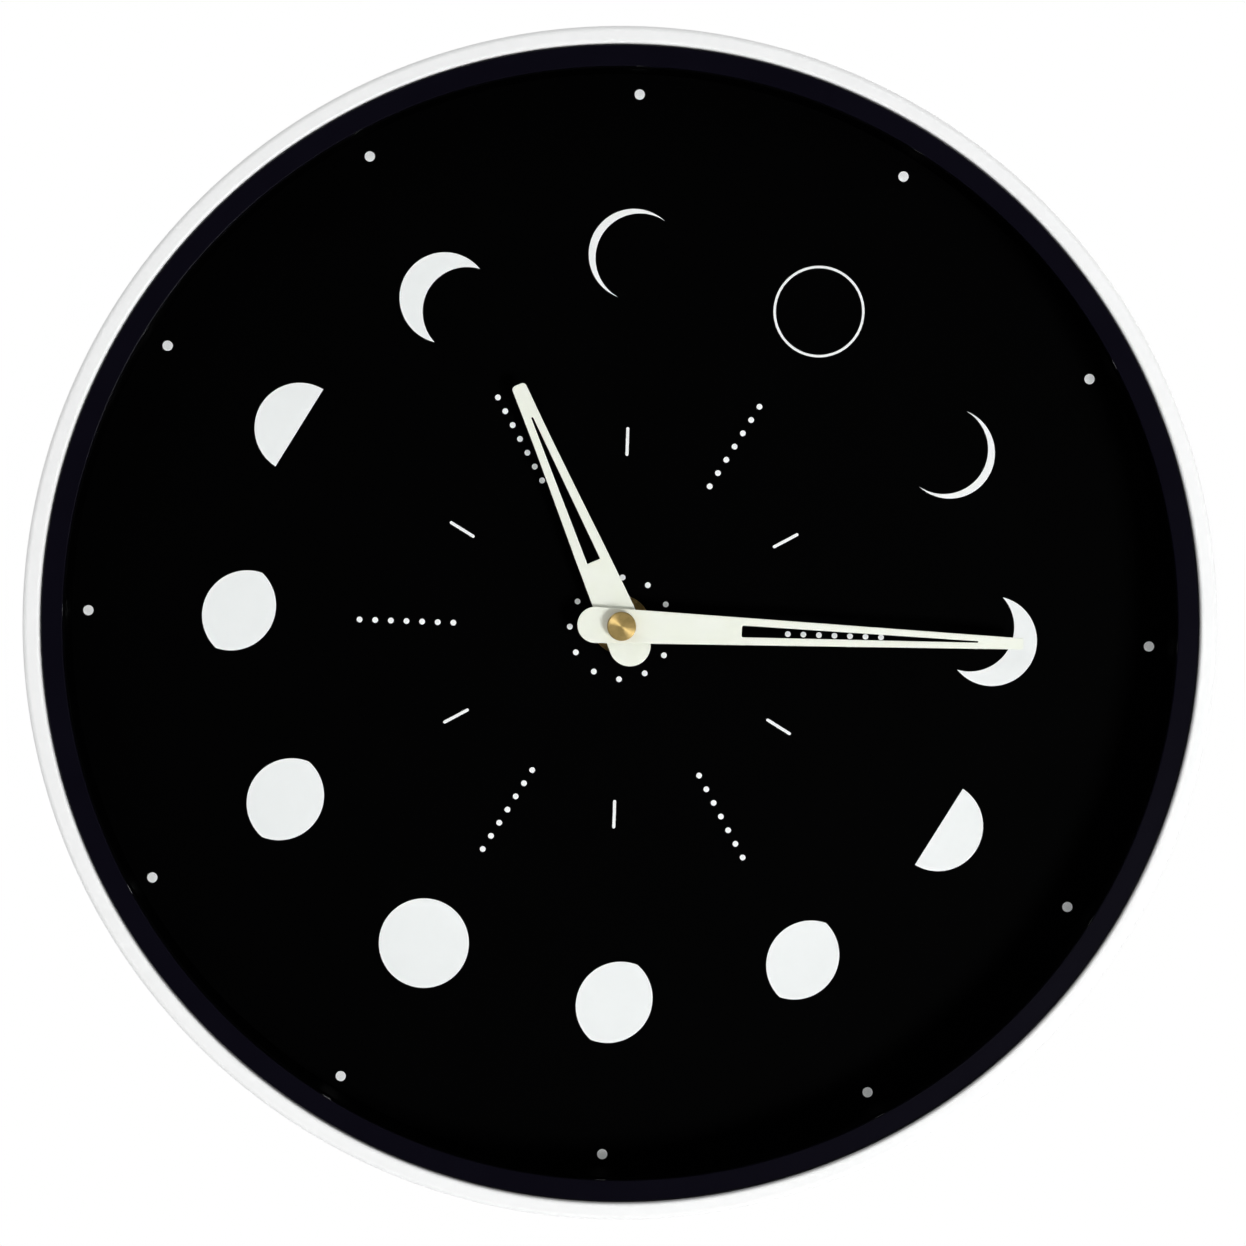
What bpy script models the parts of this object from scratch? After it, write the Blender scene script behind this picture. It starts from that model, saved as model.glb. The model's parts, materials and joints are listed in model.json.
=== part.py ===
"""Round wall clock with the phases of the moon for hours, and its quartz movement.

The clock is built lying on its back, as on a bench: x runs to its right, y runs up the dial and z is the
distance from the wall. One parent turns all of it upright, so that it faces -Y with 12 o'clock at +Z.
Sizes are in metres.
"""
from math import acos, atan2, cos, pi, radians, sin, sqrt

import bmesh
import bpy
from mathutils import Matrix, Vector

for old in list(bpy.data.objects):
    bpy.data.objects.remove(old, do_unlink=True)

# Clearances
FIT_GAP = 0.0003
RUNNING_GAP = 0.0001
SLEEVE_GAP = 0.00015

# Round outlines
LARGE_SIDES = 64
MIDDLE_SIDES = 16
SMALL_SIDES = 12
PIVOT_SIDES = 8
DOT_SIDES = 6
EDGE_STEPS = 2
CORNER_STEPS = 3
HAND_TIP_STEPS = 6
HAND_TAIL_STEPS = 16

# Case
CASE_RADIUS = 0.150
CASE_FRONT = 0.042
CASE_REAR = 0.002
LIP_WIDTH = 0.0045
LIP_ROUND = 0.0014
LIP_INNER_EDGE = 0.0007
REAR_WALL = 0.003
SHELF_WIDTH = 0.0075
SHELF_FRONT = 0.0219
SHELF_THICKNESS = 0.0019

# Front ring, glass, spacer and dial
RING_WIDTH = 0.0055
RING_THICKNESS = 0.0018
RING_RECESS = 0.0015
RING_EDGE = 0.00045
GLASS_THICKNESS = 0.0022
DIAL_THICKNESS = 0.0008
INK_HEIGHT = 0.0002
INK_ROOT = 0.0001

# Dial figures
HOUR_STEP = radians(30)
MOON_CIRCLE_RADIUS = 0.0934
MOON_RADIUS = 0.0115
MOON_TILT = radians(30)
MOON_LINE = 0.0007
MOON_SIDES = 32
THIN_SHADOW_OFFSET = 0.0019
WIDE_SHADOW_OFFSET = 0.0067
SHADOW_RADIUS = 0.0113
NARROW_LENS_OFFSET = 0.0050
WIDE_LENS_OFFSET = 0.0039
HOUR_DOT_INSET = 0.0070
HOUR_DOT_RADIUS = 0.00135
DASH_CIRCLE_RADIUS = 0.0468
DASH_LENGTH = 0.0072
DASH_WIDTH = 0.00105
ROW_START_RADIUS = 0.0420
ROW_STEP = 0.00392
ROW_COUNT = 7
ROW_DOT_RADIUS = 0.00088
HUB_DOT_CIRCLE_RADIUS = 0.0128
HUB_DOT_RADIUS = 0.00088

# Back cover, with the pocket that the movement sits in
COVER_REAR = 0.0034
COVER_THICKNESS = 0.002
POCKET_RADIUS = 0.044
POCKET_WALL = 0.002
POCKET_FLOOR = 0.0015
BOSS_INSET = 0.0072
BOSS_RADIUS = 0.0033
BOSS_COUNT = 6
BOSS_START = radians(30)
CASE_SCREW_RADIUS = 0.00125
CASE_SCREW_LENGTH = 0.010
SCREW_HEAD_RADIUS = 0.0027
SCREW_HEAD_HEIGHT = 0.0014
SCREW_FACE_RADIUS = 0.0019
SCREW_EDGE_HEIGHT = 0.0007

# Hanger and wall pads
HANGER_BELOW_PAD = 0.032
HANGER_WIDTH = 0.042
HANGER_HEIGHT = 0.026
HANGER_THICKNESS = 0.0012
HANGER_CORNER = 0.0052
HANGER_SCREW_SPACING = 0.032
HANGER_SCREW_LENGTH = 0.006
KEYHOLE_RADIUS = 0.0050
KEYHOLE_SLOT_WIDTH = 0.0050
KEYHOLE_SLOT_RISE = 0.0090
HANGER_WINDOW_MARGIN = 0.0015
PAD_RADIUS = 0.006
PAD_INSET = 0.020
PAD_COUNT = 3
PAD_EDGE = 0.0008

# Centre fixing
BUSHING_RADIUS = 0.0039
BUSHING_BORE_RADIUS = 0.00250
BUSHING_FLANGE_RADIUS = 0.0065
BUSHING_FLANGE_THICKNESS = 0.0011
BUSHING_LENGTH = 0.0107
RUBBER_WASHER_RADIUS = 0.0075
RUBBER_WASHER_THICKNESS = 0.0010
BRASS_WASHER_RADIUS = 0.0075
BRASS_WASHER_THICKNESS = 0.0005
NUT_ACROSS_FLATS = 0.0127
NUT_THICKNESS = 0.0024

# Hands
HAND_THICKNESS = 0.0005
HOUR_HAND_ANGLE = radians(334.8)
HOUR_HAND_REACH = 0.0655
HOUR_HAND_TAIL = 0.0108
HOUR_HAND_TAIL_RADIUS = 0.0054
HOUR_HAND_TIP_RADIUS = 0.00185
HOUR_SLOT_START = 0.01655
HOUR_SLOT_FROM_TIP = 0.0083
HOUR_SLOT_WIDTH = 0.00313
HOUR_SLOT_TIP_WIDTH = 0.0005
MINUTE_HAND_ANGLE = radians(90.6)
MINUTE_HAND_REACH = 0.0998
MINUTE_HAND_TAIL = 0.0108
MINUTE_HAND_TAIL_RADIUS = 0.0048
MINUTE_HAND_TIP_RADIUS = 0.00150
MINUTE_SLOT_START = 0.0311
MINUTE_SLOT_FROM_TIP = 0.0100
MINUTE_SLOT_WIDTH = 0.0029
MINUTE_SLOT_TIP_WIDTH = 0.0003
HOUR_HAND_CLEARANCE = 0.0010
COLLET_HEIGHT = 0.0007
COLLET_WALL = 0.0009
HAND_SPACING = 0.0011
CAP_RADIUS = 0.00365
CAP_HEIGHT = 0.0026
CAP_FACE = 0.0009
CAP_ROUND = 0.0007
ARBOR_END_IN_CAP = 0.0014
CAP_DISH = 0.0002

# Movement case
MOVEMENT_ABOVE_AXIS = 0.028
MOVEMENT_BELOW_AXIS = 0.028
MOVEMENT_DEPTH = 0.0158
MOVEMENT_WALL = 0.0012
BAY_PARTITION_BELOW_AXIS = 0.0104
BAY_PARTITION_WALL = 0.0010
POST_RADIUS = 0.0014
MID_PLATE_BEHIND_FRONT = 0.0062
MID_PLATE_THICKNESS = 0.0010
PIVOT_RADIUS = 0.0004
PIVOT_HOLE_DEPTH = 0.0006

# Battery and contacts
BATTERY_RADIUS = 0.00725
BATTERY_LENGTH = 0.0495
BATTERY_BUTTON_RADIUS = 0.00275
BATTERY_BUTTON_HEIGHT = 0.0010
BATTERY_EDGE = 0.0006
BATTERY_AXIS_BELOW = 0.0190
CONTACT_THICKNESS = 0.0004
CONTACT_WIDTH = 0.0090
CONTACT_HEIGHT = 0.0110
CONTACT_BUMP_RADIUS = 0.0026
CONTACT_TIP_RADIUS = 0.0013
CONTACT_REACH = 0.0015

# Gears. The two tooth shapes are half widths at the root and the tip, as shares of the pitch
WHEEL_TOOTH = (0.30, 0.14)
LEAF_TOOTH = (0.27, 0.15)
MODULE = 0.0004
SECOND_MODULE = 0.000516
ADDENDUM = 0.80
DEDENDUM = 1.05
WHEEL_THICKNESS = 0.0005
PINION_THICKNESS = 0.0011
ARBOR_RADIUS = 0.0007
ROTOR_LEAVES = 6
INTERMEDIATE_TEETH = 30
INTERMEDIATE_LEAVES = 6
SECOND_TEETH = 36
SECOND_LEAVES = 6
THIRD_TEETH = 45
THIRD_LEAVES = 6
CENTRE_TEETH = 48
CANNON_LEAVES = 10
MOTION_TEETH = 30
MOTION_LEAVES = 8
HOUR_TEETH = 32
KNOB_LEAVES = 10
THIRD_DIRECTION = radians(45)
INTERMEDIATE_DIRECTION = radians(150)
ROTOR_DIRECTION = radians(149)
MOTION_DIRECTION = radians(-20)
KNOB_DIRECTION = radians(-15)
LAYER_STEP = 0.00115
FIRST_LAYER = 0.0012

# Arbors of the hands and the setting knob
CENTRE_ARBOR_REACH = 0.0040
CENTRE_HUB_RADIUS = 0.0015
MINUTE_ARBOR_RADIUS = 0.00150
MINUTE_ARBOR_BORE_RADIUS = 0.00085
MINUTE_NECK_RADIUS = 0.0012
HOUR_TUBE_RADIUS = 0.00235
KNOB_SHAFT_RADIUS = 0.0010
KNOB_RADIUS = 0.0045
KNOB_THICKNESS = 0.0021
KNOB_GRIPS = 12
KNOB_GRIP_DEPTH = 0.00036

# Stepping motor and electronics
MAGNET_RADIUS = 0.0026
MAGNET_LENGTH = 0.0015
STATOR_THICKNESS = 0.0005
STATOR_RING = 0.0017
STATOR_BAR = 0.0036
STATOR_LEG = 0.0030
STATOR_AIR_GAP = 0.0005
COIL_ABOVE_AXIS = 0.0205
COIL_FROM_WALL = 0.0046
COIL_LENGTH = 0.0156
COIL_RADIUS = 0.0027
COIL_TUBE_RADIUS = 0.0018
COIL_TUBE_WALL = 0.0004
COIL_FLANGE_RADIUS = 0.0029
COIL_FLANGE_THICKNESS = 0.0008
CORE_WIDTH = 0.0020
CORE_THICKNESS = 0.0008
BOARD_FROM_WALL = 0.0018
BOARD_LENGTH = 0.0210
BOARD_LOW = 0.0140
BOARD_HIGH = 0.0258
BOARD_THICKNESS = 0.0008
CHIP_RADIUS = 0.0026
CHIP_HEIGHT = 0.0010
CHIP_FACE_RADIUS = 0.0018
CHIP_EDGE_HEIGHT = 0.0007
CHIP_FROM_LEFT = 0.0078
CRYSTAL_RADIUS = 0.0010
CRYSTAL_LENGTH = 0.0062

# Radii and depths worked out from the sizes above
CASE_BORE_RADIUS = CASE_RADIUS - LIP_WIDTH
INSERT_RADIUS = CASE_BORE_RADIUS - FIT_GAP
RING_OPENING_RADIUS = CASE_BORE_RADIUS - RING_WIDTH
HOUR_DOT_CIRCLE_RADIUS = RING_OPENING_RADIUS - HOUR_DOT_INSET
BOSS_CIRCLE_RADIUS = CASE_RADIUS - BOSS_INSET
PAD_CIRCLE_RADIUS = CASE_RADIUS - PAD_INSET
HANGER_HEIGHT_ON_BACK = PAD_CIRCLE_RADIUS - HANGER_BELOW_PAD
SHELF_REAR = SHELF_FRONT - SHELF_THICKNESS
DIAL_REAR = SHELF_FRONT + FIT_GAP
DIAL_FRONT = DIAL_REAR + DIAL_THICKNESS
RING_FRONT = CASE_FRONT - RING_RECESS
RING_REAR = RING_FRONT - RING_THICKNESS
GLASS_FRONT = RING_REAR - FIT_GAP
GLASS_REAR = GLASS_FRONT - GLASS_THICKNESS
SPACER_FRONT = GLASS_REAR - FIT_GAP
SPACER_REAR = DIAL_FRONT + FIT_GAP
COVER_FRONT = COVER_REAR + COVER_THICKNESS
BOSS_REAR = COVER_FRONT + FIT_GAP
POCKET_FLOOR_FRONT = SHELF_FRONT
POCKET_FLOOR_REAR = POCKET_FLOOR_FRONT - POCKET_FLOOR
RUBBER_FRONT = POCKET_FLOOR_REAR - FIT_GAP
RUBBER_REAR = RUBBER_FRONT - RUBBER_WASHER_THICKNESS
MOVEMENT_FRONT = RUBBER_REAR - FIT_GAP
MOVEMENT_REAR = MOVEMENT_FRONT - MOVEMENT_DEPTH
FRONT_PLATE_REAR = MOVEMENT_FRONT - MOVEMENT_WALL
REAR_PLATE_FRONT = MOVEMENT_REAR + MOVEMENT_WALL
MID_PLATE_FRONT = FRONT_PLATE_REAR - MID_PLATE_BEHIND_FRONT
MID_PLATE_REAR = MID_PLATE_FRONT - MID_PLATE_THICKNESS
BRASS_REAR = DIAL_FRONT + FIT_GAP
BRASS_FRONT = BRASS_REAR + BRASS_WASHER_THICKNESS
NUT_REAR = BRASS_FRONT + FIT_GAP
NUT_FRONT = NUT_REAR + NUT_THICKNESS
BUSHING_REAR = FRONT_PLATE_REAR - FIT_GAP - BUSHING_FLANGE_THICKNESS
BUSHING_FRONT = BUSHING_REAR + BUSHING_LENGTH
COLLET_REAR = BUSHING_FRONT + HOUR_HAND_CLEARANCE
HOUR_HAND_REAR = COLLET_REAR + COLLET_HEIGHT
HOUR_HAND_FRONT = HOUR_HAND_REAR + HAND_THICKNESS
MINUTE_HAND_REAR = HOUR_HAND_FRONT + HAND_SPACING
MINUTE_HAND_FRONT = MINUTE_HAND_REAR + HAND_THICKNESS
CAP_REAR = MINUTE_HAND_FRONT + FIT_GAP
CAP_FRONT = CAP_REAR + CAP_HEIGHT

# Places across the movement
BAY_LENGTH = BATTERY_LENGTH + BATTERY_BUTTON_HEIGHT + CONTACT_REACH + CONTACT_THICKNESS + 4 * FIT_GAP
BAY_END = BAY_LENGTH / 2
MOVEMENT_WIDTH = BAY_LENGTH + 2 * MOVEMENT_WALL
COIL_LEFT = COIL_FROM_WALL - BAY_END
COIL_RIGHT = COIL_LEFT + COIL_LENGTH
BOARD_LEFT = BOARD_FROM_WALL - BAY_END
BOARD_RIGHT = BOARD_LEFT + BOARD_LENGTH
WHEEL_LAYERS = [REAR_PLATE_FRONT + FIRST_LAYER + LAYER_STEP * layer for layer in range(4)]
SECOND_WHEEL_REAR, INTERMEDIATE_WHEEL_REAR, THIRD_WHEEL_REAR, CENTRE_WHEEL_REAR = WHEEL_LAYERS
PINION_OVERLAP = (PINION_THICKNESS - WHEEL_THICKNESS) / 2
MOTION_WHEEL_REAR = MID_PLATE_FRONT + 2 * PINION_OVERLAP + FIT_GAP
HOUR_WHEEL_REAR = MOTION_WHEEL_REAR + PINION_THICKNESS + 2 * PINION_OVERLAP
TRAIN_SPACING = MODULE * (CENTRE_TEETH + THIRD_LEAVES) / 2
FAST_MODULE = 2 * TRAIN_SPACING / (THIRD_TEETH + SECOND_LEAVES)
INTERMEDIATE_SPACING = SECOND_MODULE * (SECOND_TEETH + INTERMEDIATE_LEAVES) / 2
ROTOR_SPACING = MODULE * (INTERMEDIATE_TEETH + ROTOR_LEAVES) / 2
MOTION_SPACING = MODULE * (MOTION_TEETH + CANNON_LEAVES) / 2
HOUR_MODULE = 2 * MOTION_SPACING / (HOUR_TEETH + MOTION_LEAVES)
KNOB_SPACING = MODULE * (MOTION_TEETH + KNOB_LEAVES) / 2


def away(start, direction, distance):
    """The point at a distance from a start, in a direction measured from +x."""
    return start[0] + distance * cos(direction), start[1] + distance * sin(direction)


DIAL_AXIS = (0.0, 0.0)
THIRD_AXIS = away(DIAL_AXIS, THIRD_DIRECTION, TRAIN_SPACING)
INTERMEDIATE_AXIS = away(DIAL_AXIS, INTERMEDIATE_DIRECTION, INTERMEDIATE_SPACING)
ROTOR_AXIS = away(INTERMEDIATE_AXIS, ROTOR_DIRECTION, ROTOR_SPACING)
MOTION_AXIS = away(DIAL_AXIS, MOTION_DIRECTION, MOTION_SPACING)
KNOB_AXIS = away(MOTION_AXIS, KNOB_DIRECTION, KNOB_SPACING)


# Outlines


def circle(radius, sides, centre=(0.0, 0.0), start=0.0):
    """Corners of a round outline, counter-clockwise."""
    return [away(centre, start + 2 * pi * k / sides, radius) for k in range(sides)]


def arc(centre, radius, start, end, steps):
    """Points on an arc, both ends included."""
    return [away(centre, start + (end - start) * k / steps, radius) for k in range(steps + 1)]


def rectangle(left, right, low, high):
    """Corners of an upright rectangle, counter-clockwise."""
    return [(left, low), (right, low), (right, high), (left, high)]


def turned_by(outline, angle):
    """An outline turned about the dial axis."""
    return [(x * cos(angle) - y * sin(angle), x * sin(angle) + y * cos(angle)) for x, y in outline]


def shifted(outline, offset):
    """An outline moved by an offset."""
    return [(x + offset[0], y + offset[1]) for x, y in outline]


def gear_outline(teeth, module, tooth, phase):
    """A wheel's outline: teeth with straight flanks, one of them centred on the phase angle.

    tooth gives the half widths at the root and the tip as shares of the pitch.
    """
    pitch = 2 * pi / teeth
    root = module * (teeth / 2 - DEDENDUM)
    tip = module * (teeth / 2 + ADDENDUM)
    root_half, tip_half = tooth[0] * pitch, tooth[1] * pitch
    corners = []
    for k in range(teeth):
        middle = phase + k * pitch
        corners.append(away(DIAL_AXIS, middle - root_half, root))
        corners.append(away(DIAL_AXIS, middle - tip_half, tip))
        corners.append(away(DIAL_AXIS, middle + tip_half, tip))
        corners.append(away(DIAL_AXIS, middle + root_half, root))
    return corners


def meshing_phase(direction, teeth, phase, other_teeth):
    """Phase of the second gear of a pair, whose axis lies in a direction from the first."""
    return direction + pi - (pi - teeth * (direction - phase)) / other_teeth


# Solids


def mesh_from(bm):
    """A mesh with its faces pointing outwards."""
    bmesh.ops.recalc_face_normals(bm, faces=bm.faces)
    mesh = bpy.data.meshes.new("piece")
    bm.to_mesh(mesh)
    bm.free()
    return mesh


def prism(outline, low, high):
    """A straight solid over an outline, between two depths."""
    bm = bmesh.new()
    floor = [bm.verts.new((x, y, low)) for x, y in outline]
    roof = [bm.verts.new((x, y, high)) for x, y in outline]
    bm.faces.new(list(reversed(floor)))
    bm.faces.new(roof)
    for k in range(len(outline)):
        after = (k + 1) % len(outline)
        bm.faces.new((floor[k], floor[after], roof[after], roof[k]))
    return mesh_from(bm)


def turned(profile, sides, solid=False):
    """A turned solid. Its profile of (radius, depth) is a loop, or runs from axis to axis if solid."""
    bm = bmesh.new()
    corners = [bm.verts.new((radius, 0, depth)) for radius, depth in profile]
    edges = [bm.edges.new(pair) for pair in zip(corners, corners[1:])]
    if not solid:
        edges.append(bm.edges.new((corners[-1], corners[0])))
    bmesh.ops.spin(
        bm, geom=corners + edges, cent=(0, 0, 0), axis=(0, 0, 1), angle=2 * pi, steps=sides, use_merge=True
    )
    bmesh.ops.remove_doubles(bm, verts=bm.verts, dist=1e-7)
    return mesh_from(bm)


def moved(mesh, matrix):
    """The same mesh, placed by a matrix."""
    mesh.transform(matrix)
    return mesh


def large_ring(profile, solid=False):
    """A turned solid as wide as the case, none of its seams on the upright or the level axis."""
    return moved(turned(profile, LARGE_SIDES, solid), Matrix.Rotation(pi / LARGE_SIDES, 4, "Z"))


def rod(radius, sides, low, high, centre=(0.0, 0.0)):
    """A straight round bar along the depth."""
    return prism(circle(radius, sides, centre), low, high)


def combined(base, others, operation):
    """The first mesh joined with the others (UNION) or cut by them (DIFFERENCE)."""
    holder = bpy.data.objects.new("holder", base)
    bpy.context.scene.collection.objects.link(holder)
    tools = []
    for other in others:
        tool = bpy.data.objects.new("tool", other)
        bpy.context.scene.collection.objects.link(tool)
        modifier = holder.modifiers.new("combine", "BOOLEAN")
        modifier.operation = operation
        modifier.object = tool
        tools.append(tool)
    depsgraph = bpy.context.evaluated_depsgraph_get()
    result = bpy.data.meshes.new_from_object(holder.evaluated_get(depsgraph))
    for used in [holder, *tools]:
        bpy.data.objects.remove(used, do_unlink=True)
    return result


def joined(base, *others):
    """Several meshes as one solid."""
    return combined(base, others, "UNION")


def cut(base, *cutters):
    """A mesh with the cutters taken out of it."""
    return combined(base, cutters, "DIFFERENCE")


# Finishes


def finish(name, colour, roughness, metallic=0.0, alpha=1.0):
    """A plain surface finish."""
    material = bpy.data.materials.new(name)
    material.use_nodes = True
    shader = material.node_tree.nodes["Principled BSDF"]
    shader.inputs["Base Color"].default_value = (*colour, 1.0)
    shader.inputs["Roughness"].default_value = roughness
    shader.inputs["Metallic"].default_value = metallic
    shader.inputs["Alpha"].default_value = alpha
    material.diffuse_color = (*colour, alpha)
    return material


WHITE_SHELL = finish("white_shell", (0.90, 0.90, 0.90), 0.35)
BLACK_RING = finish("black_ring", (0.012, 0.010, 0.016), 0.35)
CLEAR_GLASS = finish("clear_glass", (0.95, 0.97, 0.97), 0.02, alpha=0.2)
BLACK_DIAL = finish("black_dial", (0.004, 0.004, 0.004), 0.6)
DIAL_INK = finish("dial_ink", (0.86, 0.86, 0.86), 0.5)
DARK_MOULDING = finish("dark_moulding", (0.03, 0.03, 0.03), 0.5)
ZINC_STEEL = finish("zinc_steel", (0.62, 0.62, 0.63), 0.35, metallic=1.0)
SOFT_RUBBER = finish("soft_rubber", (0.02, 0.02, 0.02), 0.8)
BRASS = finish("brass", (0.62, 0.46, 0.20), 0.3, metallic=1.0)
HAND_IVORY = finish("hand_ivory", (0.90, 0.91, 0.80), 0.5)
MOVEMENT_BLACK = finish("movement_black", (0.02, 0.02, 0.02), 0.55)
GEAR_WHITE = finish("gear_white", (0.82, 0.82, 0.78), 0.45)
COPPER_WIRE = finish("copper_wire", (0.60, 0.25, 0.10), 0.4, metallic=1.0)
MAGNET_GREY = finish("magnet_grey", (0.16, 0.16, 0.17), 0.5, metallic=0.6)
BOARD_BROWN = finish("board_brown", (0.30, 0.17, 0.07), 0.6)
CHIP_BLACK = finish("chip_black", (0.01, 0.01, 0.01), 0.4)
CELL_JACKET = finish("cell_jacket", (0.10, 0.16, 0.30), 0.35)


# The parent that hangs the clock on the wall
clock = bpy.data.objects.new("clock", None)
clock.rotation_euler = (pi / 2, 0, 0)
bpy.context.scene.collection.objects.link(clock)

SMOOTH_ANGLE = radians(35)


def piece(name, mesh, material, axis=DIAL_AXIS, angle=0.0):
    """Places a finished piece, with its origin on its own axis and turned clockwise by an angle."""
    mesh.name = name
    mesh.materials.clear()
    mesh.materials.append(material)
    mesh.shade_smooth()
    mesh.set_sharp_from_angle(angle=SMOOTH_ANGLE)
    made = bpy.data.objects.new(name, mesh)
    made.location = (axis[0], axis[1], 0)
    made.rotation_euler = (0, 0, -angle)
    made.parent = clock
    bpy.context.scene.collection.objects.link(made)
    return made


# Case


def boss_axes():
    """Axes of the case screws round the back."""
    directions = [BOSS_START + 2 * pi * k / BOSS_COUNT for k in range(BOSS_COUNT)]
    return [away(DIAL_AXIS, direction, BOSS_CIRCLE_RADIUS) for direction in directions]


def front_frame():
    """White outer frame: rounded lip, straight wall, inner shelf and the bosses for the case screws."""
    wall_radius = CASE_RADIUS - REAR_WALL
    shelf_radius = CASE_BORE_RADIUS - SHELF_WIDTH
    outer = arc((CASE_RADIUS - LIP_ROUND, CASE_FRONT - LIP_ROUND), LIP_ROUND, 0, pi / 2, EDGE_STEPS)
    profile = [(wall_radius, CASE_REAR), (CASE_RADIUS, CASE_REAR)]
    profile += outer
    profile.append((CASE_BORE_RADIUS + LIP_INNER_EDGE, CASE_FRONT))
    profile.append((CASE_BORE_RADIUS, CASE_FRONT - LIP_INNER_EDGE))
    profile += [(CASE_BORE_RADIUS, SHELF_FRONT), (shelf_radius, SHELF_FRONT)]
    profile += [(shelf_radius, SHELF_REAR), (wall_radius, SHELF_REAR)]
    shell = large_ring(profile)
    overlap = SHELF_THICKNESS / 2
    bosses = [rod(BOSS_RADIUS, SMALL_SIDES, BOSS_REAR, SHELF_REAR + overlap, at) for at in boss_axes()]
    screw_end = COVER_REAR - FIT_GAP + CASE_SCREW_LENGTH
    hole_radius = CASE_SCREW_RADIUS + RUNNING_GAP
    holes = [rod(hole_radius, PIVOT_SIDES, CASE_REAR, screw_end + FIT_GAP, at) for at in boss_axes()]
    piece("front_frame", cut(joined(shell, *bosses), *holes), WHITE_SHELL)


def inner_bezel():
    """Dark front ring that holds the glass in the frame."""
    profile = [
        (RING_OPENING_RADIUS, RING_REAR),
        (INSERT_RADIUS, RING_REAR),
        (INSERT_RADIUS, RING_FRONT),
        (RING_OPENING_RADIUS + RING_EDGE, RING_FRONT),
        (RING_OPENING_RADIUS, RING_FRONT - RING_EDGE),
    ]
    piece("inner_bezel", large_ring(profile), BLACK_RING)


def glass_lens():
    """Flat glass over the dial."""
    profile = [(0, GLASS_REAR), (INSERT_RADIUS, GLASS_REAR), (INSERT_RADIUS, GLASS_FRONT), (0, GLASS_FRONT)]
    piece("glass_lens", large_ring(profile, solid=True), CLEAR_GLASS)


def spacer_ring():
    """Ring that keeps the glass off the dial."""
    profile = [
        (RING_OPENING_RADIUS, SPACER_REAR),
        (INSERT_RADIUS, SPACER_REAR),
        (INSERT_RADIUS, SPACER_FRONT),
        (RING_OPENING_RADIUS, SPACER_FRONT),
    ]
    piece("spacer_ring", large_ring(profile), BLACK_RING)


def back_cover():
    """Round back with the pocket for the movement, the screw holes and the window behind the hanger."""
    rim = CASE_RADIUS - REAR_WALL - FIT_GAP
    pocket_outer = POCKET_RADIUS + POCKET_WALL
    hole = BUSHING_RADIUS + FIT_GAP
    profile = [
        (rim, COVER_REAR),
        (rim, COVER_FRONT),
        (pocket_outer, COVER_FRONT),
        (pocket_outer, POCKET_FLOOR_FRONT),
        (hole, POCKET_FLOOR_FRONT),
        (hole, POCKET_FLOOR_REAR),
        (POCKET_RADIUS, POCKET_FLOOR_REAR),
        (POCKET_RADIUS, COVER_REAR),
    ]
    shell = large_ring(profile)
    hanger_screw_end = COVER_REAR - FIT_GAP - HANGER_THICKNESS - FIT_GAP + HANGER_SCREW_LENGTH
    boss_front = hanger_screw_end + COVER_THICKNESS
    boss_root = COVER_FRONT - COVER_THICKNESS / 2
    bosses = [rod(BOSS_RADIUS, SMALL_SIDES, boss_root, boss_front, at) for at in hanger_screw_axes()]
    through = (COVER_REAR - COVER_THICKNESS, COVER_FRONT + COVER_THICKNESS)
    hole_radius = CASE_SCREW_RADIUS + RUNNING_GAP
    screw_holes = [rod(hole_radius, PIVOT_SIDES, *through, at) for at in boss_axes()]
    hanger_span = (through[0], hanger_screw_end + FIT_GAP)
    hanger_holes = [rod(hole_radius, PIVOT_SIDES, *hanger_span, at) for at in hanger_screw_axes()]
    half = KEYHOLE_RADIUS + HANGER_WINDOW_MARGIN
    low = HANGER_HEIGHT_ON_BACK - KEYHOLE_SLOT_RISE / 2 - half
    high = HANGER_HEIGHT_ON_BACK + KEYHOLE_SLOT_RISE / 2 + half
    window = prism(rectangle(-half, half, low, high), *through)
    piece("back_cover", cut(joined(shell, *bosses), *screw_holes, *hanger_holes, window), DARK_MOULDING)


def screw(name, axis, head_front, length):
    """Round-headed screw seen from behind, its head towards the wall."""
    head_rear = head_front - SCREW_HEAD_HEIGHT
    profile = [
        (0, head_rear),
        (SCREW_FACE_RADIUS, head_rear),
        (SCREW_HEAD_RADIUS, head_front - SCREW_EDGE_HEIGHT),
        (SCREW_HEAD_RADIUS, head_front),
        (CASE_SCREW_RADIUS, head_front),
        (CASE_SCREW_RADIUS, head_front + length - CASE_SCREW_RADIUS),
        (0, head_front + length),
    ]
    piece(name, turned(profile, PIVOT_SIDES, solid=True), ZINC_STEEL, axis)


def case_screws():
    """Screws that hold the back cover to the frame."""
    for number, axis in enumerate(boss_axes(), 1):
        screw(f"case_screw_{number}", axis, COVER_REAR - FIT_GAP, CASE_SCREW_LENGTH)


def hanger_screw_axes():
    """Axes of the two hanger screws."""
    half = HANGER_SCREW_SPACING / 2
    return [(-half, HANGER_HEIGHT_ON_BACK), (half, HANGER_HEIGHT_ON_BACK)]


def keyhole_outline():
    """Round hole for a nail's head with a slot above it, counter-clockwise."""
    half = KEYHOLE_SLOT_WIDTH / 2
    hole = (0, HANGER_HEIGHT_ON_BACK - KEYHOLE_SLOT_RISE / 2)
    top = (0, HANGER_HEIGHT_ON_BACK + KEYHOLE_SLOT_RISE / 2)
    neck = acos(half / KEYHOLE_RADIUS)
    round_hole = arc(hole, KEYHOLE_RADIUS, pi - neck, 2 * pi + neck, 4 * CORNER_STEPS)
    return round_hole + arc(top, half, 0, pi, 2 * CORNER_STEPS)


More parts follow.
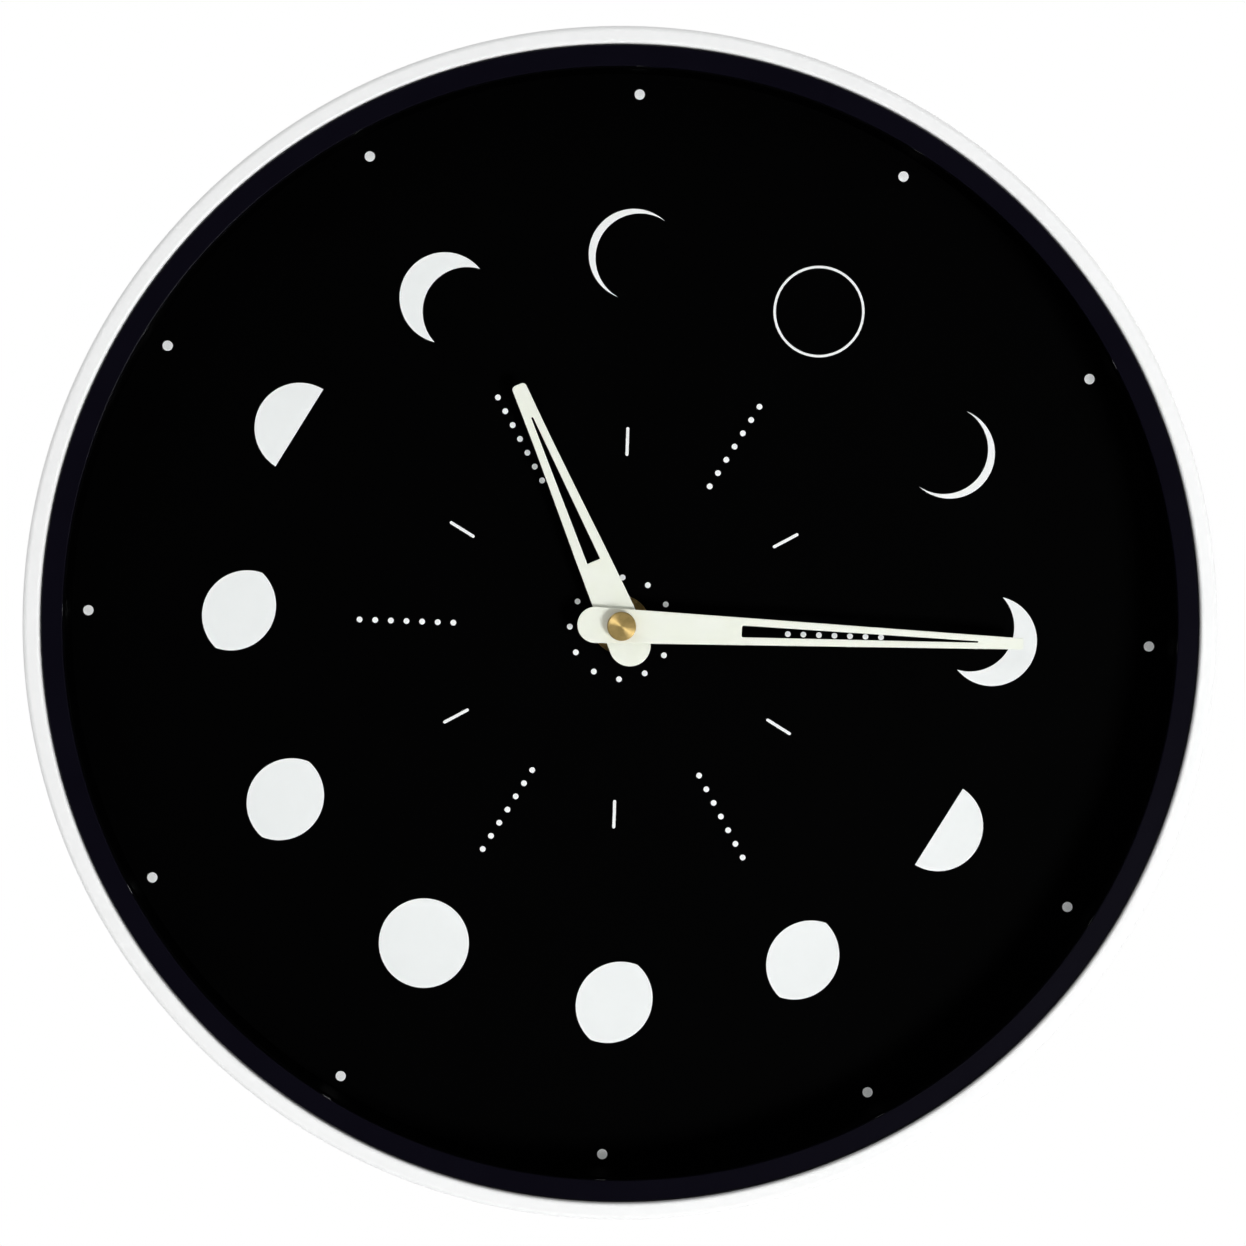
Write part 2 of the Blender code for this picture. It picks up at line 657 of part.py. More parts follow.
def hanger():
    """Steel plate with a keyhole, screwed over the window in the back cover."""
    front = COVER_REAR - FIT_GAP
    rear = front - HANGER_THICKNESS
    half = HANGER_HEIGHT / 2
    middle = HANGER_HEIGHT_ON_BACK
    across = HANGER_WIDTH / 2 - HANGER_CORNER
    up = half - HANGER_CORNER
    centres = [
        (across, middle + up),
        (-across, middle + up),
        (-across, middle - up),
        (across, middle - up),
    ]
    outline = []
    for k, centre in enumerate(centres):
        outline += arc(centre, HANGER_CORNER, k * pi / 2, (k + 1) * pi / 2, CORNER_STEPS)
    margin = HANGER_THICKNESS
    keyhole = prism(keyhole_outline(), rear - margin, front + margin)
    hole_radius = CASE_SCREW_RADIUS + RUNNING_GAP
    holes = [rod(hole_radius, PIVOT_SIDES, rear - margin, front + margin, at) for at in hanger_screw_axes()]
    piece("hanger_plate", cut(prism(outline, rear, front), keyhole, *holes), ZINC_STEEL)
    for number, axis in enumerate(hanger_screw_axes(), 1):
        screw(f"hanger_screw_{number}", axis, rear - FIT_GAP, HANGER_SCREW_LENGTH)


def wall_pads():
    """Rubber pads that keep the back off the wall."""
    front = COVER_REAR - FIT_GAP
    for k in range(PAD_COUNT):
        axis = away(DIAL_AXIS, pi / 2 + 2 * pi * k / PAD_COUNT, PAD_CIRCLE_RADIUS)
        edge = [(PAD_RADIUS - PAD_EDGE, 0), (PAD_RADIUS, PAD_EDGE)]
        profile = [(0, 0), *edge, (PAD_RADIUS, front), (0, front)]
        piece(f"wall_pad_{k + 1}", turned(profile, MIDDLE_SIDES, solid=True), SOFT_RUBBER, axis)


# Dial


def moon_disc():
    """Outline of a full moon."""
    return circle(MOON_RADIUS, MOON_SIDES)


def crescent(shadow_offset):
    """Crescent lit on the right, left by a shadow disc moved to the left."""
    meet = (SHADOW_RADIUS**2 - shadow_offset**2 - MOON_RADIUS**2) / (2 * shadow_offset)
    height = sqrt(MOON_RADIUS**2 - meet**2)
    limb = atan2(height, meet)
    inner = atan2(height, meet + shadow_offset)
    steps = MOON_SIDES // 2
    lit = arc((0, 0), MOON_RADIUS, -limb, limb, steps)
    dark = arc((-shadow_offset, 0), SHADOW_RADIUS, inner, -inner, steps)
    return lit + dark[1:-1]


def half_moon():
    """Half disc lit on the right."""
    return arc((0, 0), MOON_RADIUS, -pi / 2, pi / 2, MOON_SIDES // 2)


def gibbous(limb_offset):
    """Lens shared by two equal discs, lit on the right."""
    height = sqrt(MOON_RADIUS**2 - (limb_offset / 2) ** 2)
    limb = atan2(height, limb_offset / 2)
    steps = MOON_SIDES // 2
    lit = arc((0, 0), MOON_RADIUS, -limb, limb, steps)
    dark = arc((limb_offset, 0), MOON_RADIUS, pi - limb, pi + limb, steps)
    return lit + dark[1:-1]


def moon_shapes():
    """Moon outlines by hour. Those after the full moon are turned half round, so lit on the left."""
    waxing = {
        2: crescent(THIN_SHADOW_OFFSET),
        3: crescent(WIDE_SHADOW_OFFSET),
        4: half_moon(),
        5: gibbous(NARROW_LENS_OFFSET),
        6: gibbous(WIDE_LENS_OFFSET),
        7: moon_disc(),
    }
    waning = {14 - hour: turned_by(outline, pi) for hour, outline in waxing.items() if hour != 7}
    return {**waxing, **waning}


def at_hour(hour, radius):
    """The point at an hour's place on the dial."""
    return away(DIAL_AXIS, pi / 2 - HOUR_STEP * hour, radius)


def ink(outline):
    """A printed figure as a low relief rooted in the dial."""
    return prism(outline, DIAL_FRONT - INK_ROOT, DIAL_FRONT + INK_HEIGHT)


def moon_figures():
    """Moons for the twelve hours: a bare ring at one o'clock, full at seven."""
    ring = cut(
        ink(moon_disc()),
        rod(MOON_RADIUS - MOON_LINE, MOON_SIDES, DIAL_REAR, DIAL_FRONT + 2 * INK_HEIGHT),
    )
    one = at_hour(1, MOON_CIRCLE_RADIUS)
    figures = [moved(ring, Matrix.Translation((one[0], one[1], 0)))]
    for hour, outline in moon_shapes().items():
        tilted = turned_by(outline, -MOON_TILT)
        figures.append(ink(shifted(tilted, at_hour(hour, MOON_CIRCLE_RADIUS))))
    return figures


def dot_figures():
    """Hour dots, rows of dots at the odd hours and dots round the hub."""
    figures = []
    for hour in range(1, 13):
        figures.append(ink(circle(HOUR_DOT_RADIUS, PIVOT_SIDES, at_hour(hour, HOUR_DOT_CIRCLE_RADIUS))))
        figures.append(ink(circle(HUB_DOT_RADIUS, DOT_SIDES, at_hour(hour, HUB_DOT_CIRCLE_RADIUS))))
        if hour % 2:
            for k in range(ROW_COUNT):
                place = at_hour(hour, ROW_START_RADIUS + k * ROW_STEP)
                figures.append(ink(circle(ROW_DOT_RADIUS, DOT_SIDES, place)))
    return figures


def dash_figures():
    """Short radial strokes with round ends at the even hours."""
    half = DASH_WIDTH / 2
    inner = DASH_CIRCLE_RADIUS - DASH_LENGTH / 2 + half
    outer = DASH_CIRCLE_RADIUS + DASH_LENGTH / 2 - half
    stroke = arc((outer, 0), half, -pi / 2, pi / 2, CORNER_STEPS)
    stroke += arc((inner, 0), half, pi / 2, 3 * pi / 2, CORNER_STEPS)
    return [ink(turned_by(stroke, pi / 2 - HOUR_STEP * hour)) for hour in range(2, 13, 2)]


def dial():
    """Dial plate with its printed figures in low relief."""
    rim = circle(INSERT_RADIUS, LARGE_SIDES, start=pi / LARGE_SIDES)
    plate = prism(rim, DIAL_REAR, DIAL_FRONT)
    hole = rod(BUSHING_RADIUS + FIT_GAP, MIDDLE_SIDES, DIAL_REAR - FIT_GAP, DIAL_FRONT + FIT_GAP)
    figures = moon_figures() + dot_figures() + dash_figures()
    solid = joined(cut(plate, hole), *figures)
    made = piece("dial", solid, BLACK_DIAL)
    made.data.materials.append(DIAL_INK)
    raised = DIAL_FRONT + INK_HEIGHT / 2
    for face in made.data.polygons:
        if face.center.z > raised:
            face.material_index = 1


# Centre fixing and hands


def bushing():
    """Threaded bush of the movement, flanged behind the movement's front plate."""
    profile = [
        (BUSHING_BORE_RADIUS, BUSHING_REAR),
        (BUSHING_FLANGE_RADIUS, BUSHING_REAR),
        (BUSHING_FLANGE_RADIUS, BUSHING_REAR + BUSHING_FLANGE_THICKNESS),
        (BUSHING_RADIUS, BUSHING_REAR + BUSHING_FLANGE_THICKNESS),
        (BUSHING_RADIUS, BUSHING_FRONT),
        (BUSHING_BORE_RADIUS, BUSHING_FRONT),
    ]
    piece("threaded_bushing", turned(profile, MIDDLE_SIDES), BRASS)


def washer(name, radius, rear, front, material):
    """Flat washer round the bushing."""
    bore = BUSHING_RADIUS + RUNNING_GAP
    profile = [(bore, rear), (radius, rear), (radius, front), (bore, front)]
    piece(name, turned(profile, MIDDLE_SIDES), material)


def hex_nut():
    """Hexagon nut that clamps the dial."""
    corners = circle(NUT_ACROSS_FLATS / 2 / cos(pi / 6), 6)
    bore = rod(BUSHING_RADIUS + RUNNING_GAP, MIDDLE_SIDES, 0, CASE_FRONT)
    piece("hex_nut", cut(prism(corners, NUT_REAR, NUT_FRONT), bore), BRASS)


def blade_outline(reach, tail, tail_radius, tip_radius):
    """Tapered hand pointing up, its flanks tangent to a round tail and a round tip."""
    tip = reach - tip_radius
    back = tail_radius - tail
    lean = acos((tail_radius - tip_radius) / (tip - back))
    outline = arc((0, tip), tip_radius, pi / 2 - lean, pi / 2 + lean, HAND_TIP_STEPS)
    outline += arc((0, back), tail_radius, pi / 2 + lean, 5 * pi / 2 - lean, HAND_TAIL_STEPS)
    return outline


def slot_cutter(start, end, width, tip_width):
    """Cutter for a hand's tapered slot, from near the hub to near the tip."""
    outline = [(-width / 2, start), (width / 2, start), (tip_width / 2, end), (-tip_width / 2, end)]
    return prism(outline, 0, CASE_FRONT)


def hour_hand():
    """Hour hand on its collet."""
    outline = blade_outline(HOUR_HAND_REACH, HOUR_HAND_TAIL, HOUR_HAND_TAIL_RADIUS, HOUR_HAND_TIP_RADIUS)
    blade = prism(outline, HOUR_HAND_REAR, HOUR_HAND_FRONT)
    bore_radius = HOUR_TUBE_RADIUS + RUNNING_GAP
    collet = rod(bore_radius + COLLET_WALL, MIDDLE_SIDES, COLLET_REAR, HOUR_HAND_FRONT - HAND_THICKNESS / 2)
    bore = rod(bore_radius, MIDDLE_SIDES, 0, CASE_FRONT)
    slot_end = HOUR_HAND_REACH - HOUR_SLOT_FROM_TIP
    slot = slot_cutter(HOUR_SLOT_START, slot_end, HOUR_SLOT_WIDTH, HOUR_SLOT_TIP_WIDTH)
    piece("hour_hand", cut(joined(blade, collet), bore, slot), HAND_IVORY, angle=HOUR_HAND_ANGLE)


def minute_hand():
    """Minute hand, clamped between the arbor's shoulder and the cap nut."""
    outline = blade_outline(
        MINUTE_HAND_REACH, MINUTE_HAND_TAIL, MINUTE_HAND_TAIL_RADIUS, MINUTE_HAND_TIP_RADIUS
    )
    blade = prism(outline, MINUTE_HAND_REAR, MINUTE_HAND_FRONT)
    bore = rod(MINUTE_NECK_RADIUS + RUNNING_GAP, SMALL_SIDES, 0, CASE_FRONT)
    slot_end = MINUTE_HAND_REACH - MINUTE_SLOT_FROM_TIP
    slot = slot_cutter(MINUTE_SLOT_START, slot_end, MINUTE_SLOT_WIDTH, MINUTE_SLOT_TIP_WIDTH)
    piece("minute_hand", cut(blade, bore, slot), HAND_IVORY, angle=MINUTE_HAND_ANGLE)


def cap_nut():
    """Turned cap nut on the end of the minute arbor."""
    bore = MINUTE_NECK_RADIUS + RUNNING_GAP
    bore_front = CAP_REAR + ARBOR_END_IN_CAP + FIT_GAP
    profile = [(0, bore_front), (bore, bore_front), (bore, CAP_REAR), (CAP_RADIUS, CAP_REAR)]
    profile += arc((CAP_RADIUS - CAP_ROUND, CAP_FRONT - CAP_ROUND), CAP_ROUND, 0, pi / 2, CORNER_STEPS)
    profile += [(CAP_FACE, CAP_FRONT - CAP_DISH), (0, CAP_FRONT - CAP_DISH)]
    piece("cap_nut", turned(profile, MIDDLE_SIDES, solid=True), BRASS)


# Movement case


def movement_outline(inset):
    """Outline of the movement, moved inwards."""
    half = MOVEMENT_WIDTH / 2 - inset
    return rectangle(-half, half, inset - MOVEMENT_BELOW_AXIS, MOVEMENT_ABOVE_AXIS - inset)


def chamber_outline(inset):
    """Outline of the room above the battery bay, moved inwards."""
    half = BAY_END - inset
    high = MOVEMENT_ABOVE_AXIS - MOVEMENT_WALL - inset
    return rectangle(-half, half, inset - BAY_PARTITION_BELOW_AXIS, high)


def post_axes():
    """Axes of the posts between the front plate and the mid plate."""
    side = BAY_END - 2 * POST_RADIUS
    low = 2 * POST_RADIUS - BAY_PARTITION_BELOW_AXIS
    high = MOVEMENT_ABOVE_AXIS - MOVEMENT_WALL - 2 * POST_RADIUS
    left_high = BOARD_LOW - 2 * POST_RADIUS
    return [(-side, low), (side, low), (side, high), (-side, left_high)]


def movement_front_case():
    """Front half of the movement: front plate, side walls, partition above the bay and posts."""
    walls_rear = REAR_PLATE_FRONT + FIT_GAP
    block = prism(movement_outline(0), walls_rear, MOVEMENT_FRONT)
    chamber = prism(chamber_outline(0), 0, FRONT_PLATE_REAR)
    bay_low = MOVEMENT_WALL - MOVEMENT_BELOW_AXIS
    bay_high = -BAY_PARTITION_BELOW_AXIS - BAY_PARTITION_WALL
    bay = prism(rectangle(-BAY_END, BAY_END, bay_low, bay_high), 0, FRONT_PLATE_REAR)
    hole = rod(BUSHING_RADIUS + RUNNING_GAP, MIDDLE_SIDES, 0, CASE_FRONT)
    pivot_end = FRONT_PLATE_REAR + PIVOT_HOLE_DEPTH
    pivot = rod(PIVOT_RADIUS + RUNNING_GAP, PIVOT_SIDES, 0, pivot_end, MOTION_AXIS)
    shell = cut(block, chamber, bay, hole, pivot)
    post_span = (MID_PLATE_FRONT + FIT_GAP, FRONT_PLATE_REAR + MOVEMENT_WALL / 2)
    posts = [rod(POST_RADIUS, PIVOT_SIDES, *post_span, at) for at in post_axes()]
    piece("movement_front_case", joined(shell, *posts), MOVEMENT_BLACK)


def pivot_hole(axis):
    """Cutter for a blind pivot hole in the rear plate."""
    radius = PIVOT_RADIUS + RUNNING_GAP
    return rod(radius, PIVOT_SIDES, REAR_PLATE_FRONT - PIVOT_HOLE_DEPTH, REAR_PLATE_FRONT + FIT_GAP, axis)


def movement_rear_case():
    """Rear lid of the movement, which leaves the battery bay open."""
    half = MOVEMENT_WIDTH / 2
    outline = rectangle(-half, half, -BAY_PARTITION_BELOW_AXIS - BAY_PARTITION_WALL, MOVEMENT_ABOVE_AXIS)
    plate = prism(outline, MOVEMENT_REAR, REAR_PLATE_FRONT)
    knob_hole = rod(KNOB_SHAFT_RADIUS + RUNNING_GAP, SMALL_SIDES, 0, CASE_FRONT, KNOB_AXIS)
    pivots = [pivot_hole(axis) for axis in (DIAL_AXIS, THIRD_AXIS, INTERMEDIATE_AXIS, ROTOR_AXIS)]
    piece("movement_rear_case", cut(plate, knob_hole, *pivots), MOVEMENT_BLACK)


def mid_plate():
    """Plate that carries the front pivots of the train and the motion works."""
    plate = prism(chamber_outline(FIT_GAP), MID_PLATE_REAR, MID_PLATE_FRONT)
    margin = MID_PLATE_THICKNESS
    span = (MID_PLATE_REAR - margin, MID_PLATE_FRONT + margin)
    arbor_hole = rod(MINUTE_ARBOR_BORE_RADIUS, SMALL_SIDES, *span)
    knob_hole = rod(KNOB_SHAFT_RADIUS + RUNNING_GAP, SMALL_SIDES, *span, KNOB_AXIS)
    radius = PIVOT_RADIUS + RUNNING_GAP
    axes = (THIRD_AXIS, INTERMEDIATE_AXIS, ROTOR_AXIS, MOTION_AXIS)
    pivots = [rod(radius, PIVOT_SIDES, *span, axis) for axis in axes]
    piece("mid_plate", cut(plate, arbor_hole, knob_hole, *pivots), GEAR_WHITE)


# Battery


def along_x(mesh, left, height, depth):
    """A solid made along +z from 0, laid along +x from a left end."""
    lay = Matrix.Translation(Vector((left, height, depth))) @ Matrix.Rotation(pi / 2, 4, "Y")
    return moved(mesh, lay)


BATTERY_DEPTH = FRONT_PLATE_REAR - FIT_GAP - BATTERY_RADIUS
POSITIVE_FACE = BAY_END - FIT_GAP - CONTACT_THICKNESS
BATTERY_LEFT = POSITIVE_FACE - FIT_GAP - BATTERY_BUTTON_HEIGHT - BATTERY_LENGTH


def battery():
    """Round cell with its positive button on the right."""
    end = BATTERY_LENGTH
    profile = [
        (0, 0),
        (BATTERY_RADIUS - BATTERY_EDGE, 0),
        (BATTERY_RADIUS, BATTERY_EDGE),
        (BATTERY_RADIUS, end - BATTERY_EDGE),
        (BATTERY_RADIUS - BATTERY_EDGE, end),
        (BATTERY_BUTTON_RADIUS, end),
        (BATTERY_BUTTON_RADIUS, end + BATTERY_BUTTON_HEIGHT),
        (0, end + BATTERY_BUTTON_HEIGHT),
    ]
    cell = turned(profile, MIDDLE_SIDES, solid=True)
    piece("battery", along_x(cell, BATTERY_LEFT, -BATTERY_AXIS_BELOW, BATTERY_DEPTH), CELL_JACKET)


def contact_plate(left):
    """Flat contact that stands at one end of the battery bay."""
    half_width, half_height = CONTACT_WIDTH / 2, CONTACT_HEIGHT / 2
    low, high = -BATTERY_AXIS_BELOW - half_height, half_height - BATTERY_AXIS_BELOW
    outline = rectangle(left, left + CONTACT_THICKNESS, low, high)
    return prism(outline, BATTERY_DEPTH - half_width, BATTERY_DEPTH + half_width)


def contacts():
    """Positive plate on the right and sprung negative plate on the left."""
    piece("battery_contact_positive", contact_plate(POSITIVE_FACE), ZINC_STEEL)
    left = FIT_GAP - BAY_END
    bump_end = [(CONTACT_TIP_RADIUS, CONTACT_REACH), (0, CONTACT_REACH)]
    profile = [(0, 0), (CONTACT_BUMP_RADIUS, 0), *bump_end]
    bump = along_x(turned(profile, SMALL_SIDES, solid=True), left, -BATTERY_AXIS_BELOW, BATTERY_DEPTH)
    piece("battery_contact_negative", joined(contact_plate(left), bump), ZINC_STEEL)


# Wheels


def wheel(teeth, module, phase, rear):
    """A toothed disc."""
    return prism(gear_outline(teeth, module, WHEEL_TOOTH, phase), rear, rear + WHEEL_THICKNESS)


def leaves(count, module, phase, rear):
    """A pinion, a little longer than the wheel it meshes with."""
    low = rear - PINION_OVERLAP
    return prism(gear_outline(count, module, LEAF_TOOTH, phase), low, low + PINION_THICKNESS)


REAR_PIVOT_END = REAR_PLATE_FRONT - PIVOT_HOLE_DEPTH / 2
SHOULDER_REAR = REAR_PLATE_FRONT + FIT_GAP
SHOULDER_FRONT = MID_PLATE_REAR - FIT_GAP
MID_PIVOT_END = MID_PLATE_REAR + MID_PLATE_THICKNESS / 2


def arbor(front, pivot_front):
    """Arbor from a rear pivot to its front shoulder and pivot."""
    profile = [
        (0, REAR_PIVOT_END),
        (PIVOT_RADIUS, REAR_PIVOT_END),
        (PIVOT_RADIUS, SHOULDER_REAR),
        (ARBOR_RADIUS, SHOULDER_REAR),
        (ARBOR_RADIUS, front),
        (PIVOT_RADIUS, front),
        (PIVOT_RADIUS, pivot_front),
        (0, pivot_front),
    ]
    return turned(profile, PIVOT_SIDES, solid=True)


CENTRE_PHASE = 0.0
THIRD_LEAF_PHASE = meshing_phase(THIRD_DIRECTION, CENTRE_TEETH, CENTRE_PHASE, THIRD_LEAVES)
THIRD_WHEEL_PHASE = 0.0
SECOND_LEAF_PHASE = meshing_phase(THIRD_DIRECTION + pi, THIRD_TEETH, THIRD_WHEEL_PHASE, SECOND_LEAVES)
SECOND_WHEEL_PHASE = 0.0
INTERMEDIATE_LEAF_PHASE = meshing_phase(
    INTERMEDIATE_DIRECTION, SECOND_TEETH, SECOND_WHEEL_PHASE, INTERMEDIATE_LEAVES
)
INTERMEDIATE_WHEEL_PHASE = 0.0
ROTOR_PHASE = meshing_phase(ROTOR_DIRECTION, INTERMEDIATE_TEETH, INTERMEDIATE_WHEEL_PHASE, ROTOR_LEAVES)
CANNON_PHASE = 0.0
MOTION_WHEEL_PHASE = meshing_phase(MOTION_DIRECTION, CANNON_LEAVES, CANNON_PHASE, MOTION_TEETH)
HOUR_WHEEL_PHASE = 0.0
MOTION_LEAF_PHASE = meshing_phase(MOTION_DIRECTION, HOUR_TEETH, HOUR_WHEEL_PHASE, MOTION_LEAVES)
KNOB_PHASE = meshing_phase(KNOB_DIRECTION, MOTION_TEETH, MOTION_WHEEL_PHASE, KNOB_LEAVES)


def rotor():
    """Rotor of the stepping motor: leaves on an arbor, and its ring magnet."""
    spindle = arbor(SHOULDER_FRONT, MID_PIVOT_END)
    pinion = leaves(ROTOR_LEAVES, MODULE, ROTOR_PHASE, INTERMEDIATE_WHEEL_REAR)
    piece("rotor_pinion", joined(spindle, pinion), GEAR_WHITE, ROTOR_AXIS)
    middle = STATOR_REAR + STATOR_THICKNESS / 2
    rear, front = middle - MAGNET_LENGTH / 2, middle + MAGNET_LENGTH / 2
    bore = ARBOR_RADIUS + RUNNING_GAP
    profile = [(bore, rear), (MAGNET_RADIUS, rear), (MAGNET_RADIUS, front), (bore, front)]
    piece("rotor_magnet", turned(profile, SMALL_SIDES), MAGNET_GREY, ROTOR_AXIS)


def intermediate_wheel():
    """Wheel between the rotor and the second wheel."""
    disc = wheel(INTERMEDIATE_TEETH, MODULE, INTERMEDIATE_WHEEL_PHASE, INTERMEDIATE_WHEEL_REAR)
    pinion = leaves(INTERMEDIATE_LEAVES, SECOND_MODULE, INTERMEDIATE_LEAF_PHASE, SECOND_WHEEL_REAR)
    solid = joined(arbor(SHOULDER_FRONT, MID_PIVOT_END), disc, pinion)
    piece("intermediate_wheel", solid, GEAR_WHITE, INTERMEDIATE_AXIS)


def second_wheel():
    """Wheel that turns once a minute, its front pivot inside the centre arbor."""
    disc = wheel(SECOND_TEETH, SECOND_MODULE, SECOND_WHEEL_PHASE, SECOND_WHEEL_REAR)
    pinion = leaves(SECOND_LEAVES, FAST_MODULE, SECOND_LEAF_PHASE, THIRD_WHEEL_REAR)
    shoulder = CENTRE_WHEEL_REAR - PINION_OVERLAP - FIT_GAP / 2
    pivot_front = CENTRE_WHEEL_REAR + WHEEL_THICKNESS
    piece("second_wheel", joined(arbor(shoulder, pivot_front), disc, pinion), GEAR_WHITE)


def third_wheel():
    """Wheel between the second wheel and the centre wheel."""
    disc = wheel(THIRD_TEETH, FAST_MODULE, THIRD_WHEEL_PHASE, THIRD_WHEEL_REAR)
    pinion = leaves(THIRD_LEAVES, MODULE, THIRD_LEAF_PHASE, CENTRE_WHEEL_REAR)
    piece("third_wheel", joined(arbor(SHOULDER_FRONT, MID_PIVOT_END), disc, pinion), GEAR_WHITE, THIRD_AXIS)


def centre_wheel():
    """Wheel that turns once an hour and drives the minute arbor by friction."""
    disc = wheel(CENTRE_TEETH, MODULE, CENTRE_PHASE, CENTRE_WHEEL_REAR)
    rear = CENTRE_WHEEL_REAR - PINION_OVERLAP + FIT_GAP / 2
    hub = rod(CENTRE_HUB_RADIUS, SMALL_SIDES, rear, SHOULDER_FRONT)
    spindle_radius = MINUTE_ARBOR_BORE_RADIUS - RUNNING_GAP
    spindle = rod(spindle_radius, SMALL_SIDES, rear, MID_PLATE_FRONT + CENTRE_ARBOR_REACH)
    socket = rod(PIVOT_RADIUS + RUNNING_GAP, PIVOT_SIDES, 0, CENTRE_WHEEL_REAR + WHEEL_THICKNESS + FIT_GAP)
    piece("centre_wheel", cut(joined(disc, hub, spindle), socket), GEAR_WHITE)


def minute_arbor():
    """Minute arbor: a tube with leaves, whose neck carries the minute hand and the cap nut."""
    shoulder = MINUTE_HAND_REAR - FIT_GAP
    profile = [
        (0, MID_PLATE_FRONT + FIT_GAP),
        (MINUTE_ARBOR_RADIUS, MID_PLATE_FRONT + FIT_GAP),
        (MINUTE_ARBOR_RADIUS, shoulder),
        (MINUTE_NECK_RADIUS, shoulder),
        (MINUTE_NECK_RADIUS, CAP_REAR + ARBOR_END_IN_CAP),
        (0, CAP_REAR + ARBOR_END_IN_CAP),
    ]
    tube = turned(profile, SMALL_SIDES, solid=True)
    pinion = leaves(CANNON_LEAVES, MODULE, CANNON_PHASE, MOTION_WHEEL_REAR)
    bore = rod(MINUTE_ARBOR_BORE_RADIUS, SMALL_SIDES, 0, shoulder - MINUTE_ARBOR_RADIUS)
    piece("minute_arbor", cut(joined(tube, pinion), bore), BRASS)


def motion_wheel():
    """Wheel and pinion that gear the minute arbor down to the hour wheel."""
    disc = wheel(MOTION_TEETH, MODULE, MOTION_WHEEL_PHASE, MOTION_WHEEL_REAR)
    pinion = leaves(MOTION_LEAVES, HOUR_MODULE, MOTION_LEAF_PHASE, HOUR_WHEEL_REAR)
    rear_pivot = MID_PLATE_FRONT - MID_PLATE_THICKNESS / 2
    rear = MID_PLATE_FRONT + FIT_GAP
    front = FRONT_PLATE_REAR - FIT_GAP
    profile = [
        (0, rear_pivot),
        (PIVOT_RADIUS, rear_pivot),
        (PIVOT_RADIUS, rear),
        (ARBOR_RADIUS, rear),
        (ARBOR_RADIUS, front),
        (PIVOT_RADIUS, front),
        (PIVOT_RADIUS, FRONT_PLATE_REAR + PIVOT_HOLE_DEPTH / 2),
        (0, FRONT_PLATE_REAR + PIVOT_HOLE_DEPTH / 2),
    ]
    spindle = turned(profile, PIVOT_SIDES, solid=True)
    piece("motion_wheel", joined(spindle, disc, pinion), GEAR_WHITE, MOTION_AXIS)


def hour_wheel():
    """Wheel on the tube that carries the hour hand."""
    disc = wheel(HOUR_TEETH, HOUR_MODULE, HOUR_WHEEL_PHASE, HOUR_WHEEL_REAR)
    tube = rod(HOUR_TUBE_RADIUS, MIDDLE_SIDES, HOUR_WHEEL_REAR, HOUR_HAND_FRONT)
    bore = rod(MINUTE_ARBOR_RADIUS + SLEEVE_GAP, MIDDLE_SIDES, 0, CASE_FRONT)
    piece("hour_wheel", cut(joined(disc, tube), bore), GEAR_WHITE)


def set_knob():
    """Knob behind the movement, whose leaves turn the motion wheel."""
    knob_front = MOVEMENT_REAR - FIT_GAP
    knob_rear = knob_front - KNOB_THICKNESS
    rim_radii = [KNOB_RADIUS - KNOB_GRIP_DEPTH, KNOB_RADIUS] * KNOB_GRIPS
    rim = [away(DIAL_AXIS, pi * k / KNOB_GRIPS, radius) for k, radius in enumerate(rim_radii)]
    shaft_front = MOTION_WHEEL_REAR - PINION_OVERLAP + PINION_THICKNESS
    shaft = rod(KNOB_SHAFT_RADIUS, SMALL_SIDES, knob_front - KNOB_THICKNESS / 2, shaft_front)
    pinion = leaves(KNOB_LEAVES, MODULE, KNOB_PHASE, MOTION_WHEEL_REAR)
    piece("set_knob", joined(prism(rim, knob_rear, knob_front), shaft, pinion), MOVEMENT_BLACK, KNOB_AXIS)


# Stepping motor and electronics

COIL_DEPTH = (REAR_PLATE_FRONT + MID_PLATE_REAR) / 2
STATOR_REAR = COIL_DEPTH + CORE_THICKNESS / 2 + FIT_GAP


def stator():
    """Flat iron stator: a ring round the rotor, a bar and a leg at each end of the coil."""
    front = STATOR_REAR + STATOR_THICKNESS
    hole_radius = MAGNET_RADIUS + STATOR_AIR_GAP
    ring = rod(hole_radius + STATOR_RING, MIDDLE_SIDES, STATOR_REAR, front, ROTOR_AXIS)
    left, right = COIL_LEFT - COIL_FLANGE_THICKNESS, COIL_RIGHT + COIL_FLANGE_THICKNESS
    low, high = ROTOR_AXIS[1] - STATOR_BAR / 2, ROTOR_AXIS[1] + STATOR_BAR / 2
    top = COIL_ABOVE_AXIS + CORE_WIDTH / 2
    bar = prism(rectangle(left - STATOR_LEG, right + STATOR_LEG, low, high), STATOR_REAR, front)
    left_leg = prism(rectangle(left - STATOR_LEG, left, low, top), STATOR_REAR, front)
    right_leg = prism(rectangle(right, right + STATOR_LEG, low, top), STATOR_REAR, front)
    hole = rod(hole_radius, MIDDLE_SIDES, 0, CASE_FRONT, ROTOR_AXIS)
    piece("stator", cut(joined(bar, ring, left_leg, right_leg), hole), MAGNET_GREY)


